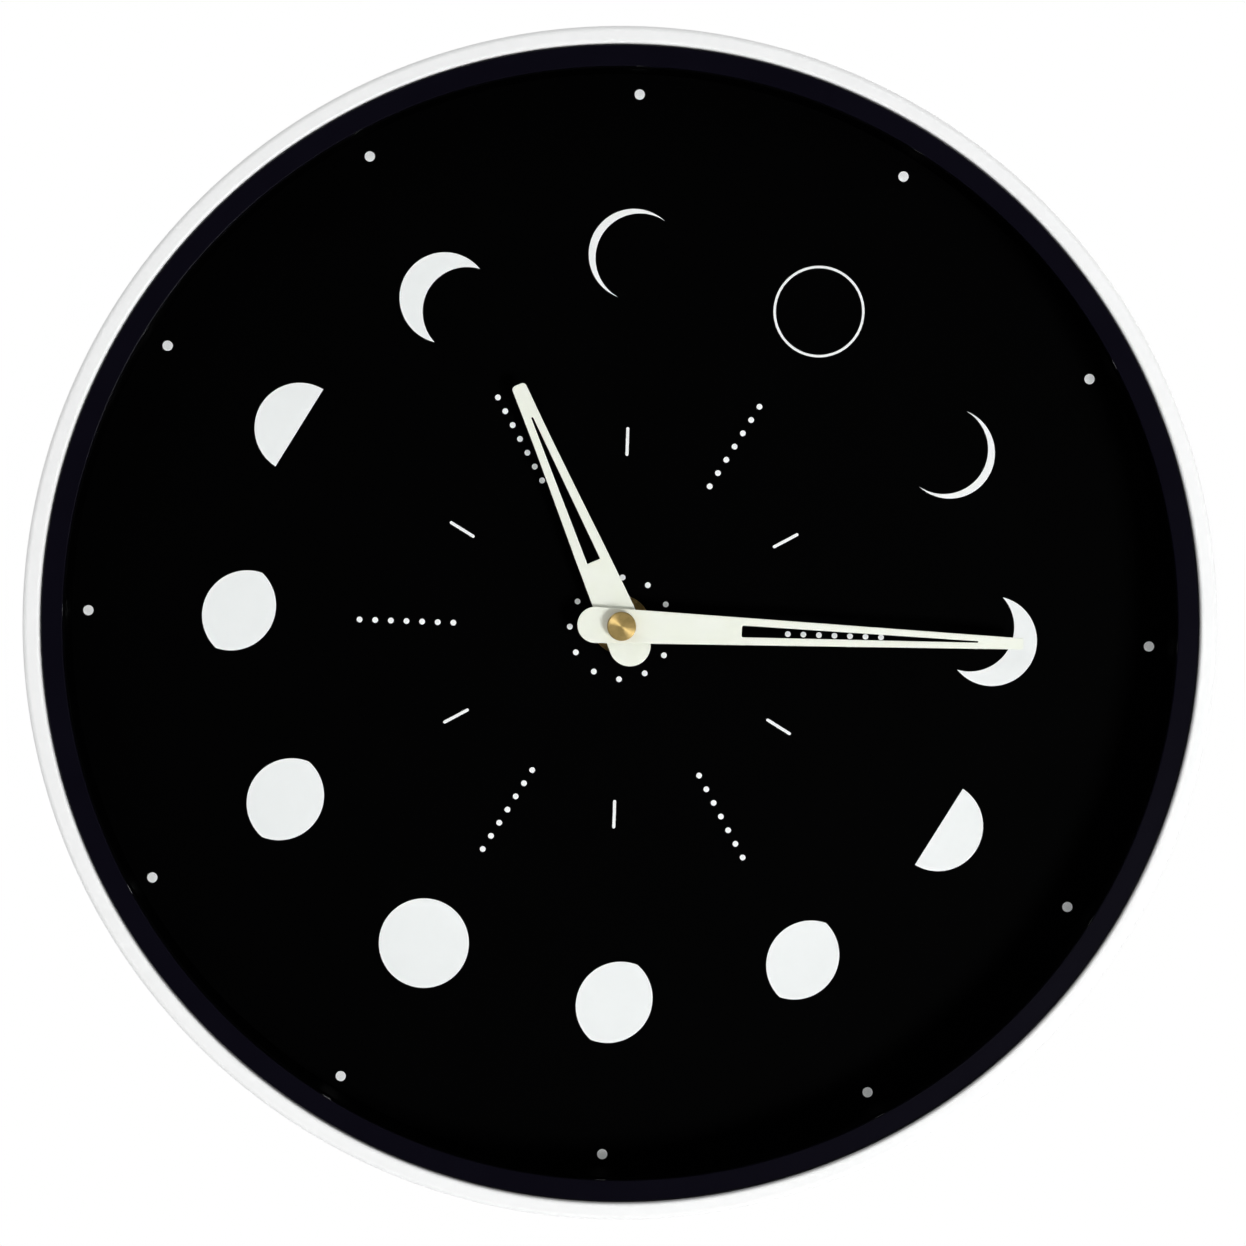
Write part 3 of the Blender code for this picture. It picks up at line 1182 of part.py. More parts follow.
def coil():
    """Iron core, plastic bobbin and copper winding of the motor."""
    left, right = COIL_LEFT - COIL_FLANGE_THICKNESS, COIL_RIGHT + COIL_FLANGE_THICKNESS
    half_core = CORE_WIDTH / 2
    core_span = (COIL_DEPTH - CORE_THICKNESS / 2, COIL_DEPTH + CORE_THICKNESS / 2)
    low, high = COIL_ABOVE_AXIS - half_core, COIL_ABOVE_AXIS + half_core
    core = prism(rectangle(left - STATOR_LEG, right + STATOR_LEG, low, high), *core_span)
    piece("coil_core", core, MAGNET_GREY)
    length = right - left
    flange = COIL_FLANGE_THICKNESS
    profile = [
        (0, 0),
        (COIL_FLANGE_RADIUS, 0),
        (COIL_FLANGE_RADIUS, flange),
        (COIL_TUBE_RADIUS, flange),
        (COIL_TUBE_RADIUS, length - flange),
        (COIL_FLANGE_RADIUS, length - flange),
        (COIL_FLANGE_RADIUS, length),
        (0, length),
    ]
    spool = along_x(turned(profile, MIDDLE_SIDES, solid=True), left, COIL_ABOVE_AXIS, COIL_DEPTH)
    gap = RUNNING_GAP
    slot_outline = rectangle(left - flange, right + flange, low - gap, high + gap)
    slot = prism(slot_outline, core_span[0] - gap, core_span[1] + gap)
    piece("coil_bobbin", cut(spool, slot), GEAR_WHITE)
    inner = COIL_TUBE_RADIUS + RUNNING_GAP
    wound = length - 2 * flange - 2 * RUNNING_GAP
    winding = turned([(inner, 0), (COIL_RADIUS, 0), (COIL_RADIUS, wound), (inner, wound)], MIDDLE_SIDES)
    start = left + flange + RUNNING_GAP
    piece("coil_winding", along_x(winding, start, COIL_ABOVE_AXIS, COIL_DEPTH), COPPER_WIRE)


def electronics():
    """Circuit board on the mid plate, with the chip under its resin and the quartz crystal."""
    rear = MID_PLATE_FRONT + FIT_GAP
    front = rear + BOARD_THICKNESS
    board = prism(rectangle(BOARD_LEFT, BOARD_RIGHT, BOARD_LOW, BOARD_HIGH), rear, front)
    piece("circuit_board", board, BOARD_BROWN)
    middle = (BOARD_LOW + BOARD_HIGH) / 2
    seat = front + FIT_GAP
    chip_axis = (BOARD_LEFT + CHIP_FROM_LEFT, middle)
    edge = [(CHIP_RADIUS, seat), (CHIP_FACE_RADIUS, seat + CHIP_EDGE_HEIGHT)]
    dome = [(0, seat), *edge, (0, seat + CHIP_HEIGHT)]
    piece("ic_blob", turned(dome, SMALL_SIDES, solid=True), CHIP_BLACK, chip_axis)
    can = rod(CRYSTAL_RADIUS, SMALL_SIDES, 0, CRYSTAL_LENGTH)
    crystal_left = BOARD_RIGHT - CRYSTAL_RADIUS - CRYSTAL_LENGTH
    piece("quartz_crystal", along_x(can, crystal_left, middle, seat + CRYSTAL_RADIUS), ZINC_STEEL)


front_frame()
inner_bezel()
glass_lens()
spacer_ring()
dial()
back_cover()
case_screws()
hanger()
wall_pads()
bushing()
washer("rubber_washer", RUBBER_WASHER_RADIUS, RUBBER_REAR, RUBBER_FRONT, SOFT_RUBBER)
washer("brass_washer", BRASS_WASHER_RADIUS, BRASS_REAR, BRASS_FRONT, BRASS)
hex_nut()
hour_hand()
minute_hand()
cap_nut()
movement_front_case()
movement_rear_case()
mid_plate()
battery()
contacts()
rotor()
intermediate_wheel()
second_wheel()
third_wheel()
centre_wheel()
minute_arbor()
motion_wheel()
hour_wheel()
set_knob()
stator()
coil()
electronics()
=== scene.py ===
"""Moon calendar wall clock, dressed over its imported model: pieces, finishes, stage and camera.

Sizes are in millimetres on the bench, where x runs to the right, y up the dial and z away from
the wall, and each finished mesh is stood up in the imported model's own frame, in metres.
"""

import json
import logging
from collections.abc import Iterable, Sequence
from dataclasses import dataclass, field
from enum import Enum
from math import acos, atan2, cos, hypot, pi, radians, sin, sqrt

import bmesh
import bpy
from mathutils import Matrix, Vector

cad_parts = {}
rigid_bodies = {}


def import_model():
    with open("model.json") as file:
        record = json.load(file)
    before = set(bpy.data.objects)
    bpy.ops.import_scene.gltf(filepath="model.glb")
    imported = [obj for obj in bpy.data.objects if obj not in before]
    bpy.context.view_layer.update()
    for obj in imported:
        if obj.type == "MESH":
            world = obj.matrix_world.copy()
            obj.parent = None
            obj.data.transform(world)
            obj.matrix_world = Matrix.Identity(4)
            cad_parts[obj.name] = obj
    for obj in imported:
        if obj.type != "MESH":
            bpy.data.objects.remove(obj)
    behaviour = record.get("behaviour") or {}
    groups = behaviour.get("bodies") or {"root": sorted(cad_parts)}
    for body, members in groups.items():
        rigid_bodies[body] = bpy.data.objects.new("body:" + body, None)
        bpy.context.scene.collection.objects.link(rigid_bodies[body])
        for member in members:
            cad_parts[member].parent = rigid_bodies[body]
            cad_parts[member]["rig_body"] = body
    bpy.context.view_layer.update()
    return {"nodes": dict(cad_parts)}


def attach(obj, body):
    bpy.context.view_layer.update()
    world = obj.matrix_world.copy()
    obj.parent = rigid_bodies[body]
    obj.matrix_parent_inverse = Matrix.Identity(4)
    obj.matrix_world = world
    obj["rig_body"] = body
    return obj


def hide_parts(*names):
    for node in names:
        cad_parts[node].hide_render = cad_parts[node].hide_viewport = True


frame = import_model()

LOG = logging.getLogger("moon_clock")
MM = 0.001
STAND = Matrix.Rotation(pi / 2, 4, "X") @ Matrix.Scale(MM, 4)
MERGE = 1e-4
SIXTH = pi / 3
CREASE = radians(32)  # an edge above this angle stays sharp
FLAT = radians(4)  # an edge below this angle is always shaded softly
BROAD = 12  # how many times a flat's area beats a rounding's
TINY = 1e-6
CORNER_SHARE = 0.45  # most of a side that one rounding may take
SMOOTH_ARC = 96
SMOOTH_CIRCLE = 128
HOLE_SIDES = 24
SMALL_TURN = 32
FINE_TURN = 96
BROAD_TURN = 192
ROUND_PROFILE = 0.5
SCATTERED = 0.5  # a ray's depth above this has left a matt surface
NOISE_REACH = (0.3, 0.7)
BLEND_REACH = (0.35, 0.65)
ENGRAVING = 0.6
COAT_ROUGHNESS = 0.08
QUARTER_TURN = 0.25
UNIT = (0.0, 1.0)
WHITE = (1.0, 1.0, 1.0)
FLOOR_GREY = (0.82, 0.82, 0.82)
AIM = (0.0, -0.03, 0.0)
Point = tuple[float, float]
Colour = tuple[float, float, float]
Ring = tuple[float, float, float, float]
Place = tuple[float, float, float]
Profile = tuple[Point, ...]


# Outlines


def arc(centre: Point, radius: float, start: float, end: float, steps: int) -> list[Point]:
    """Points along an arc.

    Args:
        centre: Middle of the arc.
        radius: Its radius.
        start: Angle of the first point.
        end: Angle of the last point.
        steps: Number of straight steps.

    Returns:
        The points, both ends included.
    """
    turns = [start + (end - start) * k / steps for k in range(steps + 1)]
    return [(centre[0] + radius * cos(a), centre[1] + radius * sin(a)) for a in turns]


def circle(radius: float, steps: int = 64, centre: Point = (0.0, 0.0)) -> list[Point]:
    """A full circle without its doubled last point."""
    return arc(centre, radius, 0, 2 * pi, steps)[:-1]


def turned_by(outline: Iterable[Point], angle: float) -> list[Point]:
    """The outline turned counter-clockwise about the axis."""
    return [(x * cos(angle) - y * sin(angle), x * sin(angle) + y * cos(angle)) for x, y in outline]


def shifted(outline: Iterable[Point], offset: Point) -> list[Point]:
    """The outline moved by an offset."""
    return [(x + offset[0], y + offset[1]) for x, y in outline]


def mirrored(outline: Sequence[Point]) -> list[Point]:
    """The outline's mirror image on the left, run the other way."""
    return [(-x, y) for x, y in reversed(outline)]


def rounded_box(width: float, height: float, corner: float, steps: int = 8) -> list[Point]:
    """A rectangle about the origin with round corners.

    Args:
        width: Its size along x.
        height: Its size along y.
        corner: Radius of its corners.
        steps: Straight steps in a corner.

    Returns:
        Its outline.
    """
    x, y = width / 2 - corner, height / 2 - corner
    outline: list[Point] = []
    for k, centre in enumerate([(x, y), (-x, y), (-x, -y), (x, -y)]):
        outline += arc(centre, corner, k * pi / 2, (k + 1) * pi / 2, steps)
    return outline


def eased(profile: Sequence[Point], edge: float, steps: int = 4) -> list[Point]:
    """A closed profile with each of its corners rounded off.

    Args:
        profile: Corner points in order.
        edge: Distance from a corner at which its rounding starts.
        steps: Straight steps in a rounding.

    Returns:
        The rounded profile.
    """
    out: list[Point] = []
    count = len(profile)
    for k, corner in enumerate(profile):
        here = Vector(corner)
        before, after = Vector(profile[k - 1]) - here, Vector(profile[(k + 1) % count]) - here
        reach = min(edge, before.length * CORNER_SHARE, after.length * CORNER_SHARE)
        if abs(here.x) < TINY or reach < TINY:
            out.append(corner)
            continue
        a, b = here + before.normalized() * reach, here + after.normalized() * reach
        for s in range(steps + 1):
            t = s / steps
            p = a * (1 - t) ** 2 + here * (2 * t * (1 - t)) + b * t**2
            out.append((p.x, p.y))
    return out


# Meshes


def evaluated_mesh(thing: bpy.types.Object) -> bpy.types.Mesh:
    """A plain mesh of an object's evaluated shape, after which the object is removed.

    Args:
        thing: Object that isn't wanted any more afterwards.

    Returns:
        The mesh.
    """
    bpy.context.collection.objects.link(thing)
    graph = bpy.context.evaluated_depsgraph_get()
    mesh = bpy.data.meshes.new_from_object(thing.evaluated_get(graph))
    bpy.data.objects.remove(thing)
    return mesh


def plate(outlines: Sequence[Sequence[Point]], low: float, high: float, edge: float = 0.0) -> bpy.types.Mesh:
    """A flat plate with eased edges.

    Args:
        outlines: Outer outline first, then its holes.
        low: Distance of its rear face from the wall.
        high: Distance of its front face from the wall.
        edge: Radius of its edges.

    Returns:
        The plate as a closed mesh.
    """
    flat = bpy.data.curves.new("outline", "CURVE")
    flat.dimensions, flat.fill_mode = "2D", "BOTH"
    flat.extrude, flat.bevel_depth, flat.offset = (high - low) / 2 - edge, edge, -edge
    flat.bevel_resolution = 2
    for outline in outlines:
        spline = flat.splines.new("POLY")
        spline.points.add(len(outline) - 1)
        for point, (x, y) in zip(spline.points, outline):
            point.co = (x, y, 0, 1)
        spline.use_cyclic_u = True
    mesh = evaluated_mesh(bpy.data.objects.new("outline", flat))
    mesh.transform(Matrix.Translation((0, 0, (low + high) / 2)))
    return mesh


def joined(meshes: Iterable[bpy.types.Mesh]) -> bpy.types.Mesh:
    """Several meshes as one, each keeping its own closed shells.

    Args:
        meshes: The meshes.

    Returns:
        One mesh.
    """
    bm = bmesh.new()
    for mesh in meshes:
        bm.from_mesh(mesh)
    made = bpy.data.meshes.new("joined")
    bm.to_mesh(made)
    bm.free()
    return made


def moved(mesh: bpy.types.Mesh, matrix: Matrix) -> bpy.types.Mesh:
    """The mesh after a move, for use in an expression."""
    mesh.transform(matrix)
    return mesh


def meets_softly(line: bmesh.types.BMEdge) -> bool:
    """Whether the shading runs on over an edge.

    Args:
        line: Edge between two faces.

    Returns:
        True at a low angle, unless a broad flat face meets a narrow rounding there.
    """
    if len(line.link_faces) != 2:
        return False
    narrow, broad = sorted(face.calc_area() for face in line.link_faces)
    angle = line.calc_face_angle(0.0)
    return angle < CREASE and (angle < FLAT or broad < BROAD * narrow)


def cleaned(mesh: bpy.types.Mesh) -> bpy.types.Mesh:
    """Merges doubles, turns every face outwards and smooths all but the creases.

    Args:
        mesh: Mesh to clean, in place.

    Returns:
        The same mesh.
    """
    bm = bmesh.new()
    bm.from_mesh(mesh)
    bmesh.ops.remove_doubles(bm, verts=bm.verts, dist=MERGE)
    bmesh.ops.recalc_face_normals(bm, faces=bm.faces)
    for face in bm.faces:
        face.smooth = True
    for line in bm.edges:
        line.smooth = meets_softly(line)
    bm.to_mesh(mesh)
    bm.free()
    return mesh


def cut(mesh: bpy.types.Mesh, cutter: bpy.types.Mesh) -> bpy.types.Mesh:
    """The mesh with a cutter taken out of it.

    Args:
        mesh: Closed mesh.
        cutter: Closed mesh of the space to remove.

    Returns:
        What is left.
    """
    body = bpy.data.objects.new("stock", cleaned(mesh))
    tool = bpy.data.objects.new("cutter", cleaned(cutter))
    bpy.context.collection.objects.link(tool)
    step = body.modifiers.new("cut", "BOOLEAN")
    step.operation, step.solver, step.object = "DIFFERENCE", "EXACT", tool
    left = evaluated_mesh(body)
    bpy.data.objects.remove(tool)
    return left


# Node trees


class Wiring:
    """What every node tree under construction can do."""

    def __init__(self, tree: bpy.types.NodeTree) -> None:
        """Takes over a tree."""
        self.tree = tree

    def node(self, kind: str, settings: dict[str, object] | None = None, **values: object) -> bpy.types.Node:
        """Adds a node.

        Args:
            kind: The node's type.
            settings: Its properties.
            **values: Input names, with spaces as underscores, and a socket or value for each.

        Returns:
            The node.
        """
        made = self.tree.nodes.new(kind)
        for label, value in (settings or {}).items():
            setattr(made, label, value)
        for label, value in values.items():
            self.feed(made.inputs[label.replace("_", " ")], value)
        return made

    def feed(self, socket: bpy.types.NodeSocket, value: object) -> None:
        """Links a socket, or gives it a plain value.

        Args:
            socket: Input of a node.
            value: Socket to link it to, or its number or colour.
        """
        if isinstance(value, bpy.types.NodeSocket):
            self.tree.links.new(value, socket)
        elif socket.type == "RGBA":
            socket.default_value = (*value, 1.0)
        else:
            socket.default_value = value

    def maths(self, operation: str, *terms: object) -> bpy.types.NodeSocket:
        """A maths node's result.

        Args:
            operation: Name of the operation.
            *terms: A socket or number for each input.

        Returns:
            The result.
        """
        made = self.node("ShaderNodeMath", {"operation": operation})
        for socket, term in zip(made.inputs, terms):
            self.feed(socket, term)
        return made.outputs[0]

    def ranged(self, value: bpy.types.NodeSocket, reach: Point, result: Point) -> bpy.types.NodeSocket:
        """A value carried from one range over to another, and held at its ends."""
        ends = {"From_Min": reach[0], "From_Max": reach[1], "To_Min": result[0], "To_Max": result[1]}
        return self.node("ShaderNodeMapRange", Value=value, **ends).outputs[0]

    def part(self, place: bpy.types.NodeSocket, axis: str) -> bpy.types.NodeSocket:
        """One coordinate of a position."""
        return self.node("ShaderNodeSeparateXYZ", Vector=place).outputs[axis]

    def rays(self) -> tuple[bpy.types.NodeSocket, bpy.types.NodeSocket, bpy.types.NodeSocket]:
        """What kind of ray looks at the surface.

        Returns:
            Sockets for the camera's own ray, a mirrored or bent one, and one not yet scattered.
        """
        path = self.node("ShaderNodeLightPath").outputs
        bent = self.maths("MAXIMUM", path["Is Glossy Ray"], path["Is Transmission Ray"])
        return path["Is Camera Ray"], bent, self.maths("LESS_THAN", path["Diffuse Depth"], SCATTERED)


@dataclass
class GrowthTree(Wiring):
    """A Geometry Nodes tree with named sizes that ends in realized instances with a finish set."""

    name: str
    sizes: dict[str, float | int]
    sockets: dict[str, str] = field(init=False, default_factory=dict)

    def __post_init__(self) -> None:
        """Makes the group and its named inputs."""
        self.tree = bpy.data.node_groups.new(self.name, "GeometryNodeTree")
        face = self.tree.interface
        face.new_socket("Geometry", in_out="INPUT", socket_type="NodeSocketGeometry")
        for label, value in self.sizes.items():
            kind = "NodeSocketInt" if isinstance(value, int) else "NodeSocketFloat"
            socket = face.new_socket(label, in_out="INPUT", socket_type=kind)
            socket.default_value = value
            self.sockets[label] = socket.identifier
        finish = face.new_socket("Finish", in_out="INPUT", socket_type="NodeSocketMaterial")
        self.sockets["Finish"] = finish.identifier
        face.new_socket("Geometry", in_out="OUTPUT", socket_type="NodeSocketGeometry")
        self.given = self.tree.nodes.new("NodeGroupInput")

    def polar(self, radius: bpy.types.NodeSocket, angle: bpy.types.NodeSocket) -> bpy.types.NodeSocket:
        """A position from a radius and an angle about the axis.

        Args:
            radius: Distance from the axis.
            angle: Angle about it.

        Returns:
            The position.
        """
        x = self.maths("MULTIPLY", radius, self.maths("COSINE", angle))
        y = self.maths("MULTIPLY", radius, self.maths("SINE", angle))
        return self.node("ShaderNodeCombineXYZ", X=x, Y=y).outputs[0]

    def finish(self, geometry: bpy.types.NodeSocket) -> "GrowthTree":
        """Ends the tree in Realize Instances and Set Material.

        Args:
            geometry: The finished shape.

        Returns:
            The tree itself.
        """
        real = self.node("GeometryNodeRealizeInstances", Geometry=geometry)
        coated = self.node("GeometryNodeSetMaterial", Geometry=real.outputs[0], Material=self.given.outputs["Finish"])
        self.feed(self.tree.nodes.new("NodeGroupOutput").inputs[0], coated.outputs[0])
        return self

    def grow(
        self, finish: bpy.types.Material, base: bpy.types.Mesh | None = None, **sizes: float | int
    ) -> bpy.types.Mesh:
        """Runs the tree once.

        Args:
            finish: Material of the result.
            base: Mesh that the tree starts from.
            **sizes: Named sizes, with spaces as underscores.

        Returns:
            A plain mesh.
        """
        carrier = bpy.data.objects.new(self.name, base or bpy.data.meshes.new("empty"))
        step = carrier.modifiers.new(self.name, "NODES")
        step.node_group = self.tree
        for label, value in sizes.items():
            step[self.sockets[label.replace("_", " ")]] = value
        step[self.sockets["Finish"]] = finish
        return evaluated_mesh(carrier)


def turning_tree() -> GrowthTree:
    """Sweeps a closed profile round the axis, as on a lathe.

    Returns:
        The tree.
    """
    tree = GrowthTree("turned_on_axis", {"Middle Radius": 10.0, "Segments": 64})
    profile = tree.node("GeometryNodeMeshToCurve", Mesh=tree.given.outputs["Geometry"])
    sizes = tree.given.outputs
    rail = tree.node("GeometryNodeCurvePrimitiveCircle", Resolution=sizes["Segments"], Radius=sizes["Middle Radius"])
    swept = tree.node("GeometryNodeCurveToMesh", Curve=rail.outputs[0], Profile_Curve=profile.outputs[0])
    closed = tree.node("GeometryNodeMergeByDistance", Geometry=swept.outputs[0], Distance=MERGE)
    return tree.finish(closed.outputs[0])


def round_tree() -> GrowthTree:
    """Sets copies of the base shape round the axis.

    Returns:
        The tree.
    """
    tree = GrowthTree("copies_round_axis", {"Count": 6, "Radius": 10.0, "First Angle": 0.0})
    sizes = tree.given.outputs
    index = tree.node("GeometryNodeInputIndex").outputs[0]
    step = tree.maths("DIVIDE", 2 * pi, sizes["Count"])
    angle = tree.maths("ADD", sizes["First Angle"], tree.maths("MULTIPLY", index, step))
    points = tree.node("GeometryNodePoints", Count=sizes["Count"], Position=tree.polar(sizes["Radius"], angle))
    turn = tree.node("ShaderNodeCombineXYZ", Z=angle)
    spread = tree.node(
        "GeometryNodeInstanceOnPoints", Points=points.outputs[0], Instance=sizes["Geometry"], Rotation=turn.outputs[0]
    )
    return tree.finish(spread.outputs[0])


def rows_tree() -> GrowthTree:
    """Sets round dots of ink in rows that run out from the axis.

    Returns:
        The tree.
    """
    defaults = {"Rows": 6, "Dots": 7, "Start Radius": 42.0, "Step": 4.0}
    tree = GrowthTree("dots_in_rows", {**defaults, "Dot Radius": 1.0, "Height": 0.1, "Sides": 24})
    sizes = tree.given.outputs
    index = tree.node("GeometryNodeInputIndex").outputs[0]
    row = tree.maths("FLOOR", tree.maths("DIVIDE", tree.maths("ADD", index, 0.5), sizes["Dots"]))
    place = tree.maths("SUBTRACT", index, tree.maths("MULTIPLY", row, sizes["Dots"]))
    angle = tree.maths("MULTIPLY", row, tree.maths("DIVIDE", 2 * pi, sizes["Rows"]))
    radius = tree.maths("ADD", sizes["Start Radius"], tree.maths("MULTIPLY", place, sizes["Step"]))
    count = tree.maths("MULTIPLY", sizes["Rows"], sizes["Dots"])
    points = tree.node("GeometryNodePoints", Count=count, Position=tree.polar(radius, angle))
    edges = {"Vertices": sizes["Sides"], "Radius": sizes["Dot Radius"], "Depth": sizes["Height"]}
    dot = tree.node("GeometryNodeMeshCylinder", **edges)
    spread = tree.node("GeometryNodeInstanceOnPoints", Points=points.outputs[0], Instance=dot.outputs[0])
    return tree.finish(spread.outputs[0])


def coil_tree() -> GrowthTree:
    """Winds round wire into a coil along the axis.

    Returns:
        The tree.
    """
    defaults = {"Turns": 3.0, "Start Radius": 2.0, "End Radius": 1.0, "Height": 1.0, "Wire Radius": 0.2}
    tree = GrowthTree("wound_wire", defaults)
    sizes = tree.given.outputs
    spiral = tree.node("GeometryNodeCurveSpiral", Resolution=40, Rotations=sizes["Turns"], Height=sizes["Height"])
    for label in ("Start Radius", "End Radius"):
        tree.feed(spiral.inputs[label], sizes[label])
    section = tree.node("GeometryNodeCurvePrimitiveCircle", Resolution=10, Radius=sizes["Wire Radius"])
    ends = {"Profile_Curve": section.outputs[0], "Fill_Caps": True}
    return tree.finish(tree.node("GeometryNodeCurveToMesh", Curve=spiral.outputs[0], **ends).outputs[0])


# Finishes


class Pattern(Enum):
    """How a finish's fine relief runs."""

    MOULDED = "moulded"
    PRINTED = "printed"
    TURNED = "turned"
    BRUSHED = "brushed"
    WOUND = "wound"


@dataclass
class ShaderTree(Wiring):
    """A material's nodes under construction."""

    name: str
    material: bpy.types.Material = field(init=False)

    def __post_init__(self) -> None:
        """Starts an empty node tree that reads the piece's own coordinates."""
        self.material = bpy.data.materials.new(self.name)
        self.material.use_nodes = True
        self.tree = self.material.node_tree
        self.tree.nodes.clear()
        self.place = self.node("ShaderNodeTexCoord").outputs["Object"]

    def noise(self, scale: float, detail: float, stretch: Point | None = None) -> bpy.types.NodeSocket:
        """Fine noise on the piece's own coordinates.

        Args:
            scale: Features in a metre.
            detail: Octaves.
            stretch: Scale along x and along z, for a pattern that runs one way.

        Returns:
            The factor socket.
        """
        place = self.place
        if stretch:
            mapped = self.node("ShaderNodeMapping", Vector=place, Scale=(stretch[0], 1.0, stretch[1]))
            place = mapped.outputs[0]
        return self.node("ShaderNodeTexNoise", Vector=place, Scale=scale, Detail=detail).outputs["Fac"]

    def blend(self, factor: bpy.types.NodeSocket, first: Colour, second: Colour) -> bpy.types.NodeSocket:
        """Two colours mixed by a pattern.

        Args:
            factor: The pattern.
            first: Colour where it is low.
            second: Colour where it is high.

        Returns:
            The mixed colour.
        """
        ramp = self.node("ShaderNodeValToRGB", Fac=factor)
        for stop, colour, position in zip(ramp.color_ramp.elements, (first, second), BLEND_REACH):
            stop.color, stop.position = (*colour, 1), position
        return ramp.outputs[0]

    def mixed(self, share: object, first: bpy.types.Node, second: bpy.types.Node) -> bpy.types.Node:
        """Two shaders mixed.

        Args:
            share: Share of the second one.
            first: Node of the first shader.
            second: Node of the second shader.

        Returns:
            The mixing node.
        """
        made = self.node("ShaderNodeMixShader", Fac=share)
        for socket, shader in zip(made.inputs[1:], (first, second)):
            self.feed(socket, shader.outputs[0])
        return made

    def close(self, surface: bpy.types.Node) -> bpy.types.Material:
        """Sends a shader to the surface."""
        self.node("ShaderNodeOutputMaterial", Surface=surface.outputs[0])
        return self.material


@dataclass(frozen=True)
class Finish:
    """An opaque finish with its own colour variation, roughness and fine relief."""

    name: str
    colour: Colour
    shade: Colour
    roughness: float = 0.4
    spread: float = 0.06
    metallic: float = 0.0
    specular: float = 0.5
    patch: float = 60.0
    grain: float = 2500.0
    relief: float = 1e-5
    pattern: Pattern = Pattern.MOULDED
    coat: float = 0.0
    grooving: float = 0.85

    def height(self, tree: ShaderTree) -> bpy.types.NodeSocket:
        """The pattern that stands in relief.

        Args:
            tree: Material under construction.

        Returns:
            A height socket.
        """
        if self.pattern is Pattern.BRUSHED:
            return tree.noise(self.grain, 3.0, (0.04, 1.0))
        if self.pattern is Pattern.WOUND:
            wave = tree.node("ShaderNodeTexWave", {"bands_direction": "X"}, Vector=tree.place, Scale=self.grain)
            return wave.outputs["Fac"]
        if self.pattern is Pattern.TURNED:
            flat = tree.node("ShaderNodeCombineXYZ", X=tree.part(tree.place, "X"), Y=tree.part(tree.place, "Z"))
            across = tree.node("ShaderNodeVectorMath", {"operation": "LENGTH"}, Vector=flat.outputs[0])
            ring = tree.node("ShaderNodeCombineXYZ", X=across.outputs["Value"])
            return tree.node("ShaderNodeTexNoise", Vector=ring.outputs[0], Scale=self.grain, Detail=4.0).outputs["Fac"]
        return tree.noise(self.grain, 5.0 if self.pattern is Pattern.MOULDED else 2.0)

    def material(self) -> bpy.types.Material:
        """The finish as a material, made once.

        Returns:
            The material.
        """
        made = bpy.data.materials.get(self.name + "_finish")
        if made:
            return made
        tree = ShaderTree(self.name + "_finish")
        height = self.height(tree)
        bump = tree.node("ShaderNodeBump", Height=height, Strength=ENGRAVING, Distance=self.relief)
        paint = tree.node(
            "ShaderNodeBsdfPrincipled",
            Normal=bump.outputs[0],
            Metallic=self.metallic,
            Specular_IOR_Level=self.specular,
            Coat_Weight=self.coat,
            Coat_Roughness=COAT_ROUGHNESS,
            Base_Color=tree.blend(tree.noise(self.patch, 3.0), self.colour, self.shade),
            Roughness=tree.ranged(height, NOISE_REACH, (self.roughness - self.spread, self.roughness + self.spread)),
        )
        if self.pattern is Pattern.TURNED:
            tangent = tree.node("ShaderNodeTangent", {"direction_type": "RADIAL", "axis": "Y"})
            lathe = {"Anisotropic": self.grooving, "Anisotropic Rotation": QUARTER_TURN, "Tangent": tangent.outputs[0]}
            for label, value in lathe.items():
                tree.feed(paint.inputs[label], value)
        return tree.close(paint)


@dataclass(frozen=True)
class ClearGlass:
    """Clear float glass with a faint green body colour and very slight waviness."""

    name: str = "clear_glass"
    colour: Colour = (0.992, 0.997, 0.995)
    head_on_gloss: float = 0.02
    rim_power: float = 5.0
    ripples: float = 18.0
    ripple: Point = (0.15, 2e-5)

    def material(self) -> bpy.types.Material:
        """The glass, which lets lamp light through to the dial.

        Returns:
            The material.
        """
        made = bpy.data.materials.get(self.name + "_finish")
        if made:
            return made
        tree = ShaderTree(self.name + "_finish")
        strength, depth = self.ripple
        waves = tree.noise(self.ripples, 1.0)
        bump = tree.node("ShaderNodeBump", Height=waves, Strength=strength, Distance=depth)
        shine = tree.node("ShaderNodeBsdfGlossy", Normal=bump.outputs[0], Roughness=0.0)
        clear = tree.node("ShaderNodeBsdfTransparent", Color=self.colour)
        facing = tree.node("ShaderNodeLayerWeight").outputs["Facing"]
        rise = tree.maths("MULTIPLY", tree.maths("POWER", facing, self.rim_power), 1.0 - self.head_on_gloss)
        lit = tree.maths("SUBTRACT", 1.0, tree.node("ShaderNodeLightPath").outputs["Is Shadow Ray"])
        gloss = tree.maths("MULTIPLY", tree.maths("ADD", rise, self.head_on_gloss), lit)
        return tree.close(tree.mixed(gloss, clear, shine))


